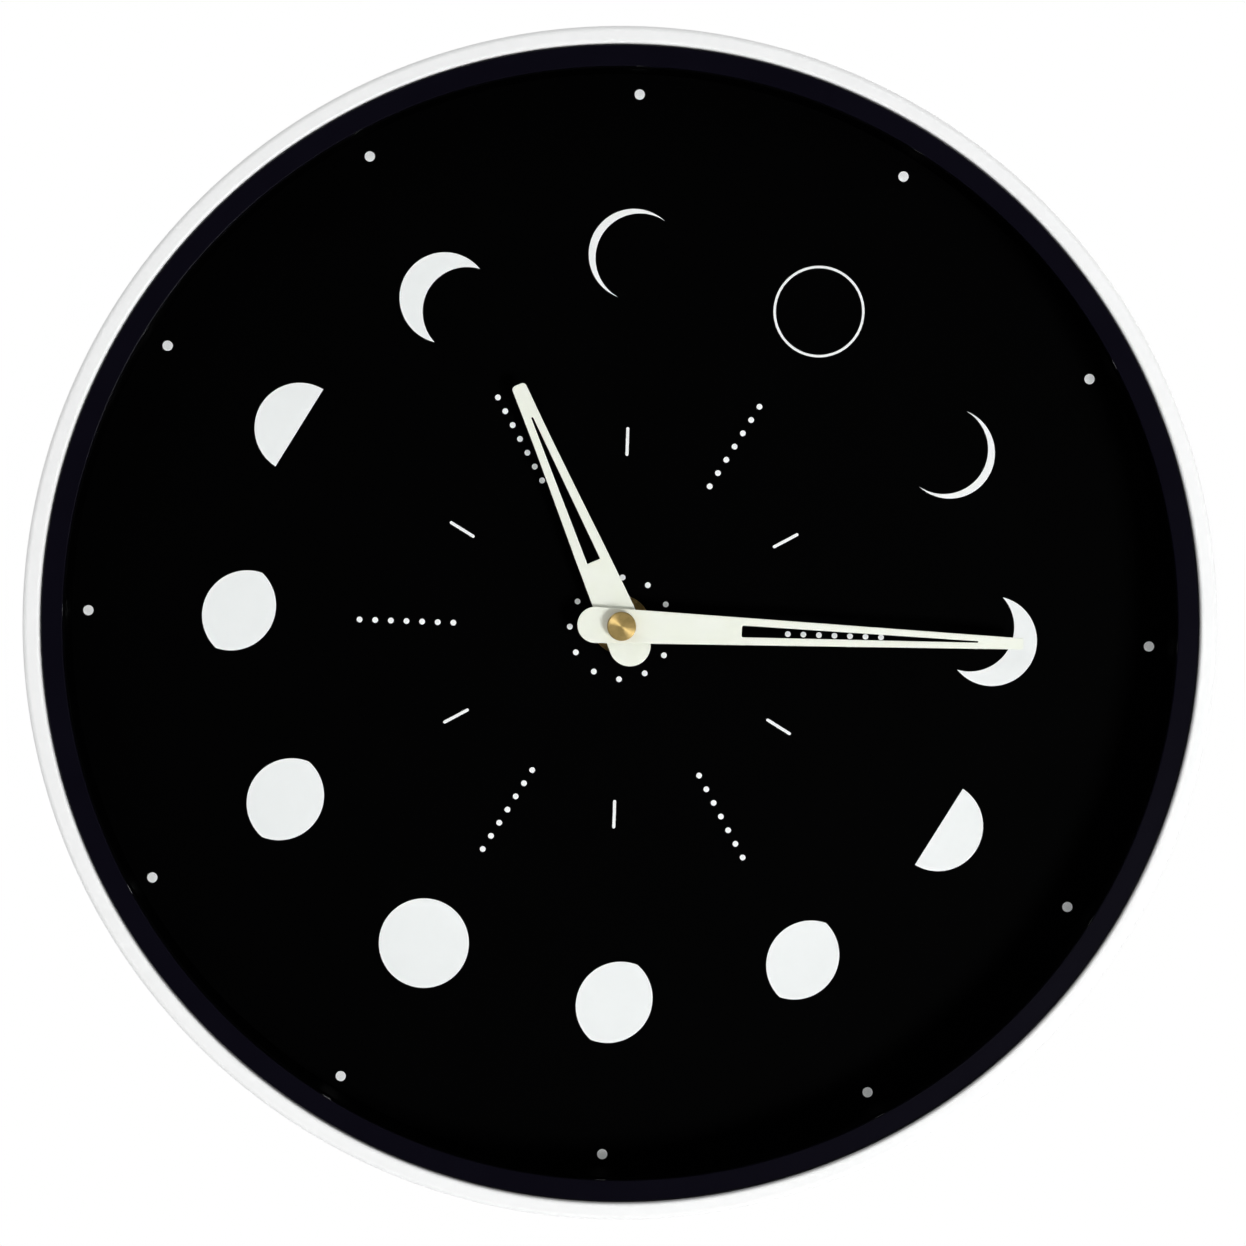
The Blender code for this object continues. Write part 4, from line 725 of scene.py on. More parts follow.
WHITE_SHELL = Finish(
    "white_shell", (0.862, 0.867, 0.867), (0.85, 0.855, 0.856), 0.42, 0.05,
    specular=0.3, relief=6e-6, grain=1400.0, coat=0.05,
)
BLACK_RING = Finish(
    "black_ring", (0.0032, 0.0028, 0.006), (0.0028, 0.0024, 0.0053), 0.2, 0.04, specular=0.075, relief=8e-6
)
DIAL_BLACK = Finish(
    "dial_black", (0.0003, 0.0003, 0.0004), (0.0002, 0.0002, 0.00025), 0.65, 0.05,
    specular=0.02, pattern=Pattern.PRINTED,
)
INK_WHITE = Finish(
    "ink_white", (0.95, 0.95, 0.955), (0.935, 0.935, 0.94), 0.55, 0.05, specular=0.3, pattern=Pattern.PRINTED
)
INK_GREY = Finish(
    "ink_grey", (0.925, 0.932, 0.935), (0.91, 0.918, 0.92), 0.6, 0.05, specular=0.3, pattern=Pattern.PRINTED
)
DARK_MOULDING = Finish(
    "dark_moulding", (0.018, 0.018, 0.02), (0.014, 0.014, 0.015), 0.48, 0.08, relief=3e-5, grain=1800.0
)
MOVEMENT_BLACK = Finish(
    "movement_black", (0.012, 0.012, 0.013), (0.009, 0.009, 0.0095), 0.38, 0.08, relief=2e-5, grain=3000.0
)
HAND_IVORY = Finish(
    "hand_ivory", (0.925, 0.935, 0.85), (0.905, 0.92, 0.815), 0.45, 0.05, specular=0.4, patch=220.0, grain=6000.0
)
BRASS = Finish(
    "brass", (0.8, 0.57, 0.23), (0.72, 0.49, 0.17), 0.28, 0.08, 0.9,
    patch=900.0, grain=14000.0, relief=6e-6, pattern=Pattern.TURNED,
)
CAP_BRASS = Finish(
    "cap_brass", (0.71, 0.5, 0.19), (0.61, 0.42, 0.15), 0.47, 0.06, 0.58,
    patch=900.0, grain=14000.0, relief=4e-6, pattern=Pattern.TURNED, grooving=0.95,
)
ZINC_STEEL = Finish(
    "zinc_steel", (0.64, 0.66, 0.69), (0.54, 0.56, 0.6), 0.3, 0.1, 1.0,
    patch=300.0, grain=9000.0, relief=4e-6, pattern=Pattern.BRUSHED,
)
RUBBER = Finish(
    "rubber", (0.02, 0.02, 0.021), (0.028, 0.028, 0.028), 0.82, 0.08, specular=0.3, grain=5000.0, relief=4e-5
)
GEAR_WHITE = Finish("gear_white", (0.78, 0.77, 0.72), (0.72, 0.71, 0.66), 0.42, 0.06, grain=4000.0)
COPPER_WIRE = Finish(
    "copper_wire", (0.56, 0.2, 0.08), (0.42, 0.13, 0.05), 0.3, 0.06, 0.9,
    patch=600.0, grain=2600.0, relief=8e-5, pattern=Pattern.WOUND,
)
MAGNET_GREY = Finish(
    "magnet_grey", (0.2, 0.2, 0.21), (0.15, 0.15, 0.16), 0.42, 0.1, 0.9,
    patch=500.0, grain=7000.0, relief=1e-5, pattern=Pattern.BRUSHED,
)
BOARD = Finish("board", (0.02, 0.16, 0.07), (0.012, 0.12, 0.05), 0.35, 0.08, patch=900.0, grain=5000.0)
CHIP = Finish("chip", (0.01, 0.01, 0.011), (0.016, 0.016, 0.017), 0.25, 0.1, patch=800.0)
CELL_JACKET = Finish(
    "cell_jacket", (0.05, 0.09, 0.2), (0.04, 0.075, 0.17), 0.22, 0.05, patch=150.0, grain=900.0, coat=0.4
)
GLASS = ClearGlass()

GEARS = ("motion", "hour", "centre", "third", "second", "intermediate")
CARRIED = {
    ZINC_STEEL: ["quartz_crystal"],
    BRASS: ["minute_arbor"],
    GEAR_WHITE: ["mid_plate", "coil_bobbin", "rotor_pinion", *(kind + "_wheel" for kind in GEARS)],
    COPPER_WIRE: ["coil_winding"],
    MAGNET_GREY: ["coil_core", "stator", "rotor_magnet"],
    BOARD: ["circuit_board"],
    CHIP: ["ic_blob"],
}


def fitted(
    name: str,
    mesh: bpy.types.Mesh,
    finish: Finish | ClearGlass,
    stands_for: Sequence[str],
    body: str = "case",
) -> bpy.types.Object:
    """Stands a finished mesh up in the model's frame and hangs it on its body.

    Args:
        name: Name of the piece.
        mesh: Its mesh on the bench.
        finish: Its finish.
        stands_for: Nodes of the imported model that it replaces.
        body: Body that it moves with.

    Returns:
        The piece.
    """
    cleaned(mesh).transform(STAND)
    mesh.materials.clear()
    mesh.materials.append(finish.material())
    piece = bpy.data.objects.new(name, mesh)
    bpy.context.collection.objects.link(piece)
    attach(piece, body)
    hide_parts(*stands_for)
    LOG.info("%s: %d faces on %s", name, len(mesh.polygons), body)
    return piece


# Workshop


def placed(mesh: bpy.types.Mesh, x: float, y: float, z: float = 0.0) -> bpy.types.Mesh:
    """The mesh shifted on the bench."""
    return moved(mesh, Matrix.Translation((x, y, z)))


@dataclass
class Workshop:
    """The trees that the pieces are grown with."""

    turning: GrowthTree = field(default_factory=turning_tree)
    copying: GrowthTree = field(default_factory=round_tree)
    dotting: GrowthTree = field(default_factory=rows_tree)
    winding: GrowthTree = field(default_factory=coil_tree)

    def turn(self, profile: Sequence[Point], finish: Finish | ClearGlass, segments: int = 64) -> bpy.types.Mesh:
        """A shape turned from a closed profile, or from one that runs from pole to pole.

        Args:
            profile: Radius and distance from the wall of each point.
            finish: Its finish.
            segments: Flats round the axis.

        Returns:
            The turned mesh.
        """
        pole_to_pole = max(profile[0][0], profile[-1][0]) < TINY
        middle = 1.0 if pole_to_pole else sum(r for r, _ in profile) / len(profile)
        mesh = bpy.data.meshes.new("profile")
        count = len(profile)
        points = [(r - middle, -w, 0.0) for r, w in profile]
        lines = [(k, (k + 1) % count) for k in range(count - pole_to_pole)]
        mesh.from_pydata(points, lines, [])
        return self.turning.grow(finish.material(), mesh, Middle_Radius=middle, Segments=segments)

    def ring(
        self, size: Ring, edge: float, finish: Finish, segments: int = FINE_TURN, steps: int = 4
    ) -> bpy.types.Mesh:
        """A turned ring with eased edges.

        Args:
            size: Its inner and outer radius, and its rear and front face.
            edge: Distance from a corner at which its rounding starts.
            finish: Its finish.
            segments: Flats round the axis.
            steps: Straight steps in a rounding.

        Returns:
            The ring.
        """
        inner, outer, rear, front = size
        section = [(inner, rear), (outer, rear), (outer, front), (inner, front)]
        return self.turn(eased(section, edge, steps), finish, segments)

    def copies(self, base: bpy.types.Mesh, finish: Finish, radius: float) -> bpy.types.Mesh:
        """Six copies of a shape, set round the axis from half a sixth on."""
        return self.copying.grow(finish.material(), base, Count=6, Radius=radius, First_Angle=SIXTH / 2)


# Sub-assemblies


@dataclass
class Shell:
    """White front frame, dark ring, glass and spacer ring."""

    shop: Workshop
    radius: float = 149.8
    rear: float = 2.0
    front: float = 42.0
    bore: float = 145.5
    lip_round: float = 1.4
    lip_edge: float = 0.7
    foot_edge: float = 0.4
    seat_edge: float = 0.3
    wall_radius: float = 147.0
    shelf_radius: float = 138.0
    shelf: Point = (20.0, 21.9)
    boss_circle: float = 142.8
    boss_profile: Profile = ((1.4, 5.7), (3.1, 5.7), (3.3, 5.9), (3.3, 20.6), (1.4, 20.6))
    ring: Ring = (140.0, 145.2, 38.7, 40.5)
    ring_edge: float = 0.25
    glass: tuple[float, float, float] = (145.2, 36.2, 38.4)
    glass_edge: float = 0.2
    spacer: Ring = (140.0, 145.2, 23.3, 35.9)
    spacer_edge: float = 0.3
    segments: int = 256

    def frame_profile(self) -> list[Point]:
        """The frame's section, its lip rounded outside and eased inside.

        Returns:
            The closed section.
        """
        lip, foot, seat = self.lip_round, self.foot_edge, self.seat_edge
        profile = [(self.wall_radius, self.rear), (self.radius - foot, self.rear), (self.radius, self.rear + foot)]
        profile += arc((self.radius - lip, self.front - lip), lip, 0, pi / 2, 12)
        inner = self.bore + self.lip_edge
        profile += arc((inner, self.front - self.lip_edge), self.lip_edge, pi / 2, pi, 6)
        profile += [(self.bore, self.shelf[1] + seat), (self.bore - seat, self.shelf[1])]
        profile += [(self.shelf_radius, self.shelf[1]), (self.shelf_radius, self.shelf[0])]
        profile += [(self.wall_radius, self.shelf[0])]
        return profile

    def build(self) -> bpy.types.Object:
        """Makes and dresses the four pieces.

        Returns:
            The glass, which the stage needs.
        """
        shell = self.shop.turn(self.frame_profile(), WHITE_SHELL, self.segments)
        boss = self.shop.turn(self.boss_profile, WHITE_SHELL, SMALL_TURN)
        bosses = self.shop.copies(boss, WHITE_SHELL, self.boss_circle)
        fitted("frame_moulding", joined([shell, bosses]), WHITE_SHELL, ["front_frame"])
        ring = self.shop.ring(self.ring, self.ring_edge, BLACK_RING, self.segments)
        fitted("dark_ring", ring, BLACK_RING, ["inner_bezel"])
        radius, rear, front = self.glass
        seam = self.glass_edge
        pane = [(0.0, rear), (radius - seam, rear), (radius, rear + seam)]
        pane += [(radius, front - seam), (radius - seam, front), (0.0, front)]
        pane_mesh = self.shop.turn(pane, GLASS, self.segments)
        glass = fitted("front_glass", pane_mesh, GLASS, ["glass_lens"])
        wall = self.shop.ring(self.spacer, self.spacer_edge, DIAL_BLACK, self.segments)
        fitted("spacer_wall", wall, DIAL_BLACK, ["spacer_ring"])
        return glass


class Phase(Enum):
    """Lit shapes of the moon, from none to all of it."""

    NEW = 0
    THIN = 1
    WIDE = 2
    HALF = 3
    NARROW_LENS = 4
    WIDE_LENS = 5
    FULL = 6


@dataclass
class Face:
    """Dial plate with its printed moons, dots and dashes."""

    shop: Workshop
    radius: float = 145.2
    hole: float = 4.2
    rear: float = 22.2
    front: float = 23.0
    print_shift: Point = (0.038, -0.97)
    moon_circle: float = 95.42
    moon_radius: float = 11.56
    moon_tilt: float = radians(-30)
    moon_edge: float = 0.5
    new_moon: Point = (11.65, 11.03)
    shadow_radius: float = 11.36
    crescent_offsets: tuple[float, float] = (1.82, 6.68)
    lens_offsets: tuple[float, float] = (5.03, 3.92)
    half_moon_offset: float = 1.0
    half_moon_cut: float = 0.18
    hour_circle: float = 135.9
    hour_dot: float = 1.31
    hub_circle: float = 13.05
    small_dot: float = 0.74
    row_start: float = 42.86
    row_step: float = 3.994
    row_count: int = 7
    dash_circle: float = 47.8
    dash: Point = (7.35, 0.78)
    dot_centre: float = 0.5
    edge: float = 0.1
    ink: float = 0.1
    second_coat: float = 0.02

    def crescent(self, offset: float, inset: float) -> list[Point]:
        """Crescent lit on its right, drawn inwards by an inset.

        Args:
            offset: How far the shadow's middle lies to the left.
            inset: Distance inside the printed edge.

        Returns:
            Its outline.
        """
        outer, dark = self.moon_radius - inset, self.shadow_radius + inset
        meet = (dark**2 - offset**2 - outer**2) / (2 * offset)
        height = sqrt(max(outer**2 - meet**2, 0.0))
        limb, inner = atan2(height, meet), atan2(height, meet + offset)
        lit = arc((0, 0), outer, -limb, limb, SMOOTH_ARC)
        return lit + arc((-offset, 0), dark, inner, -inner, SMOOTH_ARC)[1:-1]

    def lens(self, offset: float, inset: float) -> list[Point]:
        """Moon that is more than half lit, drawn inwards by an inset.

        Args:
            offset: How far the dark edge's middle lies to the right.
            inset: Distance inside the printed edge.

        Returns:
            Its outline.
        """
        outer = self.moon_radius - inset
        half = acos(offset / 2 / outer)
        lit = arc((0, 0), outer, -half, half, SMOOTH_ARC)
        return lit + arc((offset, 0), outer, pi - half, pi + half, SMOOTH_ARC)[1:-1]

    def half_moon(self, inset: float) -> list[Point]:
        """Moon lit on its right half, drawn inwards by an inset.

        Args:
            inset: Distance inside the printed edge.

        Returns:
            Its outline.
        """
        outer = self.moon_radius - inset
        lean = acos((self.half_moon_cut + inset) / outer)
        return arc((self.half_moon_offset, 0), outer, -lean, lean, SMOOTH_ARC)

    def moon(self, phase: Phase, inset: float) -> list[list[Point]]:
        """Outline of a phase, drawn inwards by an inset.

        Args:
            phase: Which one.
            inset: Distance inside the printed edge.

        Returns:
            Its outline, and the hole of a ring.
        """
        shapes = {
            Phase.NEW: lambda: [circle(radius, SMOOTH_CIRCLE) for radius in self.new_moon],
            Phase.THIN: lambda: [self.crescent(self.crescent_offsets[0], inset)],
            Phase.WIDE: lambda: [self.crescent(self.crescent_offsets[1], inset)],
            Phase.HALF: lambda: [self.half_moon(inset)],
            Phase.NARROW_LENS: lambda: [self.lens(self.lens_offsets[0], inset)],
            Phase.WIDE_LENS: lambda: [self.lens(self.lens_offsets[1], inset)],
            Phase.FULL: lambda: [circle(self.moon_radius - inset, SMOOTH_CIRCLE)],
        }
        return shapes[phase]()

    def moon_at(self, hour: int, inset: float) -> list[list[Point]]:
        """The outline printed at an hour, waxing down the right side and waning up the left.

        Args:
            hour: Hour on the dial.
            inset: Distance inside the printed edge.

        Returns:
            The outline, and the hole of a ring.
        """
        steps = hour - 1
        phase, half_turn = (Phase(steps), 0.0) if steps <= 6 else (Phase(12 - steps), pi)
        angle = pi / 2 - radians(30) * hour
        centre = (self.moon_circle * cos(angle), self.moon_circle * sin(angle))
        return [shifted(turned_by(ring, self.moon_tilt + half_turn), centre) for ring in self.moon(phase, inset)]

    def printed(self, name: str, meshes: Iterable[bpy.types.Mesh], finish: Finish) -> None:
        """Fits one colour of ink on the plate."""
        fitted(name, placed(joined(meshes), *self.print_shift), finish, ["dial"])

    def dots(
        self, finish: Finish, rows: int, dots: int, start: float, radius: float, proud: float = 0.0
    ) -> bpy.types.Mesh:
        """Rows of round dots standing on the plate.

        Args:
            finish: Their ink.
            rows: Number of rows round the axis.
            dots: Dots in a row.
            start: Distance of a row's first dot from the axis.
            radius: A dot's radius.
            proud: Height above the first coat of ink.

        Returns:
            The dots as one mesh.
        """
        height = self.ink + proud
        sizes = {"Start_Radius": start, "Step": self.row_step, "Dot_Radius": radius, "Height": height, "Sides": 40}
        grown = self.shop.dotting.grow(finish.material(), Rows=rows, Dots=dots, **sizes)
        return placed(grown, 0, 0, self.front + height / 2)

    def build(self) -> None:
        """Makes the plate and prints it."""
        disc = self.shop.ring((self.hole, self.radius, self.rear, self.front), self.edge, DIAL_BLACK, BROAD_TURN, 2)
        fitted("dial_plate", disc, DIAL_BLACK, ["dial"])
        top = self.front + self.ink
        edges = [plate(self.moon_at(hour, 0.0), self.front, top) for hour in range(1, 13)]
        self.printed("moon_edges", edges, INK_WHITE)
        fills = [plate(self.moon_at(hour, self.moon_edge), self.front, top + self.second_coat) for hour in range(2, 13)]
        self.printed("moon_fills", fills, INK_GREY)
        self.printed("hour_dots", [self.dots(INK_WHITE, 12, 1, self.hour_circle, self.hour_dot)], INK_WHITE)
        centres = self.dots(INK_GREY, 12, 1, self.hour_circle, self.dot_centre, self.second_coat)
        self.printed("hour_dot_centres", [centres], INK_GREY)
        hub = self.dots(INK_WHITE, 12, 1, self.hub_circle, self.small_dot)
        rows = self.dots(INK_WHITE, 6, self.row_count, self.row_start, self.small_dot)
        self.printed("small_dots", [hub, rows], INK_WHITE)
        length, width = self.dash
        bar = plate([rounded_box(length, width, width / 2 - 0.001)], self.front, top)
        self.printed("hour_dashes", [self.shop.copies(bar, INK_WHITE, self.dash_circle)], INK_WHITE)


@dataclass(frozen=True)
class Hand:
    """A tapered blade with a round tail, a square tip with eased corners and a slot."""

    piece: str
    node: str
    body: str
    rear: float
    front: float
    tail: float
    tail_radius: float
    taper: Profile
    tip_corner: float
    bore: float
    slot: Ring
    slot_corner: float
    angle: float
    edge: float = 0.08

    def outline(self) -> list[Point]:
        """The blade's outline, pointing up.

        Returns:
            The outline.
        """
        back = self.tail_radius - self.tail
        along, half = self.taper[0]
        start = atan2(along - back, half) - acos(self.tail_radius / hypot(half, along - back))
        reach, tip = self.taper[-1]
        side = [(width, up) for up, width in self.taper[:-1]]
        side += arc((tip - self.tip_corner, reach - self.tip_corner), self.tip_corner, 0, pi / 2, 8)
        return arc((0, back), self.tail_radius, pi - start, 2 * pi + start, 72) + side + mirrored(side)

    def blade(self) -> bpy.types.Mesh:
        """The blade with its bore and slot, pointing up.

        Returns:
            The blade.
        """
        start, end, width, tip_width = self.slot
        corners = [(-width / 2, start), (width / 2, start), (tip_width / 2, end), (-tip_width / 2, end)]
        opening = eased(corners, self.slot_corner)
        return plate([self.outline(), circle(self.bore, 48), opening], self.rear, self.front, self.edge)

    def build(self, extra: Iterable[bpy.types.Mesh] = ()) -> None:
        """Makes the hand and turns it to its reading."""
        mesh = moved(joined([self.blade(), *extra]), Matrix.Rotation(-self.angle, 4, "Z"))
        fitted(self.piece, mesh, HAND_IVORY, [self.node], self.body)


HOUR_HAND = Hand(
    piece="hour_blade",
    node="hour_hand",
    body="hour_group",
    rear=28.6,
    front=29.1,
    tail=10.8,
    tail_radius=5.3,
    taper=((9.0, 4.67), (20.3, 4.12), (30.5, 3.54), (40.7, 2.97), (50.9, 2.44), (58.0, 2.15), (66.5, 1.9)),
    tip_corner=1.1,
    bore=2.45,
    slot=(17.8, 57.5, 3.53, 0.5),
    slot_corner=0.15,
    angle=radians(334.8),
)
MINUTE_HAND = Hand(
    piece="minute_blade",
    node="minute_hand",
    body="minute_group",
    rear=30.2,
    front=30.7,
    tail=11.2,
    tail_radius=4.6,
    taper=((12.7, 4.02), (102.45, 1.43)),
    tip_corner=0.5,
    bore=1.3,
    slot=(30.6, 90.9, 3.0, 0.4),
    slot_corner=0.5,
    angle=radians(90.6),
)


@dataclass
class Hub:
    """Hands, cap nut and the hardware that clamps the dial to the movement."""

    shop: Workshop
    bushing_radius: float = 3.9
    bushing: Point = (16.2, 26.9)
    flange: Point = (6.5, 17.3)
    bore: float = 2.5
    bushing_chamfer: float = 0.25
    nut_flats: float = 12.7
    nut: Point = (24.1, 26.5)
    nut_chamfer: Point = (0.35, 0.4)
    nut_play: float = 0.1
    nut_turning: float = 0.05
    nut_blank: float = 1.6
    thread: tuple[float, float, float] = (0.5, 0.2, 0.3)
    brass_washer: Ring = (4.0, 7.5, 23.3, 23.8)
    rubber_washer: Ring = (4.0, 7.5, 19.1, 20.1)
    collet: Ring = (2.45, 3.35, 27.9, 28.85)
    cap_radius: float = 3.65
    cap: Point = (31.0, 33.6)
    cap_socket: Point = (1.3, 1.5)
    cap_round: float = 0.4
    cap_chamfer: float = 0.1
    cap_hollow: Profile = ((1.8, 0.03), (0.0, 0.05))
    soft_edge: float = 0.25
    washer_edge: float = 0.08
    collet_edge: float = 0.1
    hour: Hand = HOUR_HAND
    minute: Hand = MINUTE_HAND

    def nut_mesh(self) -> bpy.types.Mesh:
        """Hexagon nut with its corners chamfered by the lathe.

        Returns:
            The nut.
        """
        corner = self.nut_flats / 2 / cos(pi / 6)
        (low, high), (back, down) = self.nut, self.nut_chamfer
        bore, rim = self.bushing_radius + self.nut_play, corner + self.nut_turning
        section = [(bore, low), (corner - back, low), (rim, low + down)]
        section += [(rim, high - down), (corner - back, high), (bore, high)]
        blank = plate([circle(corner * self.nut_blank, 6)], low - 1, high + 1)
        hexagon = plate([circle(corner, 6)], low - 2, high + 2)
        return cut(self.shop.turn(section, BRASS, FINE_TURN), cut(blank, hexagon))

    def bushing_mesh(self) -> bpy.types.Mesh:
        """Bushing with its flange and turned thread grooves.

        Returns:
            The bushing.
        """
        (rear, front), (flange, seat), radius = self.bushing, self.flange, self.bushing_radius
        pitch, depth, start = self.thread
        outline = [(self.bore, rear), (flange, rear), (flange, seat), (radius, seat)]
        for k in range(int((front - seat - 2 * start) / pitch)):
            base = seat + start + k * pitch
            outline += [(radius, base), (radius - depth, base + pitch / 2)]
        chamfer = self.bushing_chamfer
        outline += [(radius, front - chamfer), (radius - chamfer, front), (self.bore, front)]
        return self.shop.turn(outline, BRASS, FINE_TURN)

    def cap_mesh(self) -> bpy.types.Mesh:
        """Turned cap nut with a rounded shoulder and a very slightly hollow face.

        Returns:
            The cap nut.
        """
        (low, high), (socket, deep), radius, edge = self.cap, self.cap_socket, self.cap_radius, self.cap_round
        outline = [(0.0, low + deep), (socket, low + deep), (socket, low)]
        outline += [(radius - self.cap_chamfer, low), (radius, low + self.cap_chamfer)]
        outline += arc((radius - edge, high - edge), edge, 0, pi / 2, 10)
        outline += [(across, high - sunk) for across, sunk in self.cap_hollow]
        return self.shop.turn(outline, CAP_BRASS, FINE_TURN)

    def build(self) -> None:
        """Makes the hub from the wall outwards."""
        soft = self.shop.ring(self.rubber_washer, self.soft_edge, RUBBER)
        fitted("soft_washer", soft, RUBBER, ["rubber_washer"])
        washer = self.shop.ring(self.brass_washer, self.washer_edge, BRASS)
        fitted("dial_washer", washer, BRASS, ["brass_washer"])
        fitted("dial_nut", self.nut_mesh(), BRASS, ["hex_nut"])
        fitted("threaded_bush", self.bushing_mesh(), BRASS, ["threaded_bushing"])
        self.hour.build([self.shop.ring(self.collet, self.collet_edge, HAND_IVORY)])
        self.minute.build()
        fitted("turned_cap", self.cap_mesh(), CAP_BRASS, ["cap_nut"], "minute_group")


@dataclass
class Back:
    """Back cover with the movement's pocket, its screws, the keyhole hanger and the wall pads."""

    shop: Workshop
    rim: float = 146.7
    rear: float = 3.4
    front: float = 5.4
    edge: float = 0.5
    pocket: Ring = (44.0, 46.0, 20.4, 21.9)
    hole: float = 4.2
    screw_hole: float = 1.35
    screw_circle: float = 142.8
    screw_radius: float = 1.25
    thread: tuple[float, float, float] = (0.25, 0.3, 0.6)
    neck: float = 0.4
    point: Point = (1.4, 1.0)
    case_screw: Point = (3.1, 10.0)
    hanger_screw: Point = (1.6, 6.0)
    head: Profile = ((0.0, 0.02), (1.5, 0.08), (2.3, 0.4), (2.62, 0.8), (2.7, 1.4))
    recess: Profile = ((-1.35, -0.28), (1.35, -0.28), (1.35, 0.28), (-1.35, 0.28))
    recess_depth: float = 0.9
    hanger: tuple[float, float, float] = (42.0, 26.0, 5.2)
    hanger_height: float = 98.0
    hanger_faces: Point = (1.9, 3.1)
    keyhole: Point = (5.0, 93.5)
    slot: Point = (2.5, 102.5)
    hanger_screws: float = 16.0
    hanger_boss: Profile = ((1.35, 4.6), (3.3, 4.6), (3.3, 9.4), (3.1, 9.6), (1.35, 9.6))
    window_height: float = 22.0
    pad: tuple[float, float, float] = (6.0, 130.0, 3.1)
    pad_round: float = 0.9
    relief: Point = (0.45, 0.2)
    ridge: Point = (48.0, 49.6)
    ridge_edge: float = 0.25
    rib: tuple[float, float, float] = (22.0, 1.4, 0.6)
    rib_circle: float = 60.0
    rib_count: int = 36
    rib_turn: float = radians(5)

    def cover_mesh(self) -> bpy.types.Mesh:
        """Turned cover with its holes cut and its stiffening ribs set round the pocket.

        Returns:
            The cover.
        """
        inner, outer, floor, front = self.pocket
        section = [(self.rim, self.rear), (self.rim, self.front), (outer, self.front), (outer, front)]
        section += [(self.hole, front), (self.hole, floor), (inner, floor), (inner, self.rear)]
        shell = self.shop.turn(eased(section, self.edge), DARK_MOULDING, BROAD_TURN)
        through, up = (self.rear - 2, self.front + 2), self.hanger_height
        bore = circle(self.screw_hole, HOLE_SIDES)
        holes = self.shop.copies(plate([bore], *through), DARK_MOULDING, self.screw_circle)
        width = 2 * (self.keyhole[0] + 1.5)
        window = plate([shifted(rounded_box(width, self.window_height, 1.0), (0, up))], *through)
        sides = (-self.hanger_screws, self.hanger_screws)
        pairs = [plate([shifted(bore, (x, up))], *through) for x in sides]
        shell = cut(shell, joined([holes, window, *pairs]))
        rise, sink = self.relief
        rib = plate([rounded_box(*self.rib)], self.rear - rise, self.rear + sink + 0.1, 0.2)
        spread = {"Count": self.rib_count, "Radius": self.rib_circle, "First_Angle": self.rib_turn}
        ribs = self.shop.copying.grow(DARK_MOULDING.material(), rib, **spread)
        ridge = self.shop.ring((*self.ridge, self.rear + sink, self.rear - rise), self.ridge_edge, DARK_MOULDING, 160)
        bosses = [placed(self.shop.turn(self.hanger_boss, DARK_MOULDING, SMALL_TURN), x, up) for x in sides]
        return joined([shell, ribs, ridge, *bosses])

    def screw_mesh(self, head_front: float, length: float) -> bpy.types.Mesh:
        """Pan-head screw with a cross recess, its head towards the wall.

        Args:
            head_front: Distance from the wall at which the head seats.
            length: Length of the threaded shank.

        Returns:
            The screw on the axis.
        """
        thread, rear = self.screw_radius, head_front - self.head[-1][1]
        outline = [(radius, rear + depth) for radius, depth in self.head] + [(thread, head_front)]
        (depth, rise, pitch), (last, taper) = self.thread, self.point
        tip, at = head_front + length, head_front + self.neck
        while at < tip - last:
            outline += [(thread - depth, at), (thread, at + rise)]
            at += pitch
        outline += [(thread - 0.2, tip - taper), (0.0, tip)]
        screw = self.shop.turn(outline, ZINC_STEEL, SMALL_TURN)
        deep = self.recess_depth
        for angle in (0.0, pi / 2):
            screw = cut(screw, plate([turned_by(self.recess, angle)], rear - deep, rear + deep))
        return screw

    def hanger_mesh(self) -> bpy.types.Mesh:
        """Steel plate with its keyhole and two screw holes.

        Returns:
            The hanger.
        """
        up = self.hanger_height
        outline = shifted(rounded_box(*self.hanger, 16), (0, up))
        radius, low = self.keyhole
        half, high = self.slot
        neck = acos(half / radius)
        keyhole = arc((0, low), radius, pi - neck, 2 * pi + neck, 48) + arc((0, high), half, 0, pi, 24)
        holes = [circle(self.screw_hole, HOLE_SIDES, (s * self.hanger_screws, up)) for s in (-1, 1)]
        return plate([outline, keyhole, *holes], *self.hanger_faces, 0.15)

    def pad_mesh(self, number: int) -> bpy.types.Mesh:
        """One of the three wall pads, the first of them at the top.

        Args:
            number: Its place in the ring, from nought.

        Returns:
            The pad.
        """
        radius, distance, front = self.pad
        edge = self.pad_round
        outline = [(0.0, 0.0), (radius - edge, 0.0), *arc((radius - edge, edge), edge, -pi / 2, 0, 6)]
        mesh = self.shop.turn([*outline, (radius, front), (0.0, front)], RUBBER, 48)
        angle = pi / 2 + 2 * pi * number / 3
        return placed(mesh, distance * cos(angle), distance * sin(angle))

    def build(self) -> None:
        """Makes and dresses the pieces of the back."""
        fitted("back_moulding", self.cover_mesh(), DARK_MOULDING, ["back_cover"])
        screws = self.shop.copies(cleaned(self.screw_mesh(*self.case_screw)), ZINC_STEEL, self.screw_circle)
        fitted("case_screws", screws, ZINC_STEEL, [f"case_screw_{k}" for k in range(1, 7)])
        for number, side in enumerate((-1, 1), 1):
            mesh = placed(self.screw_mesh(*self.hanger_screw), side * self.hanger_screws, self.hanger_height)
            fitted(f"hanger_fixing_{number}", mesh, ZINC_STEEL, [f"hanger_screw_{number}"])
        fitted("keyhole_hanger", self.hanger_mesh(), ZINC_STEEL, ["hanger_plate"])
        for number in range(3):
            fitted(f"rubber_foot_{number + 1}", self.pad_mesh(number), RUBBER, [f"wall_pad_{number + 1}"])


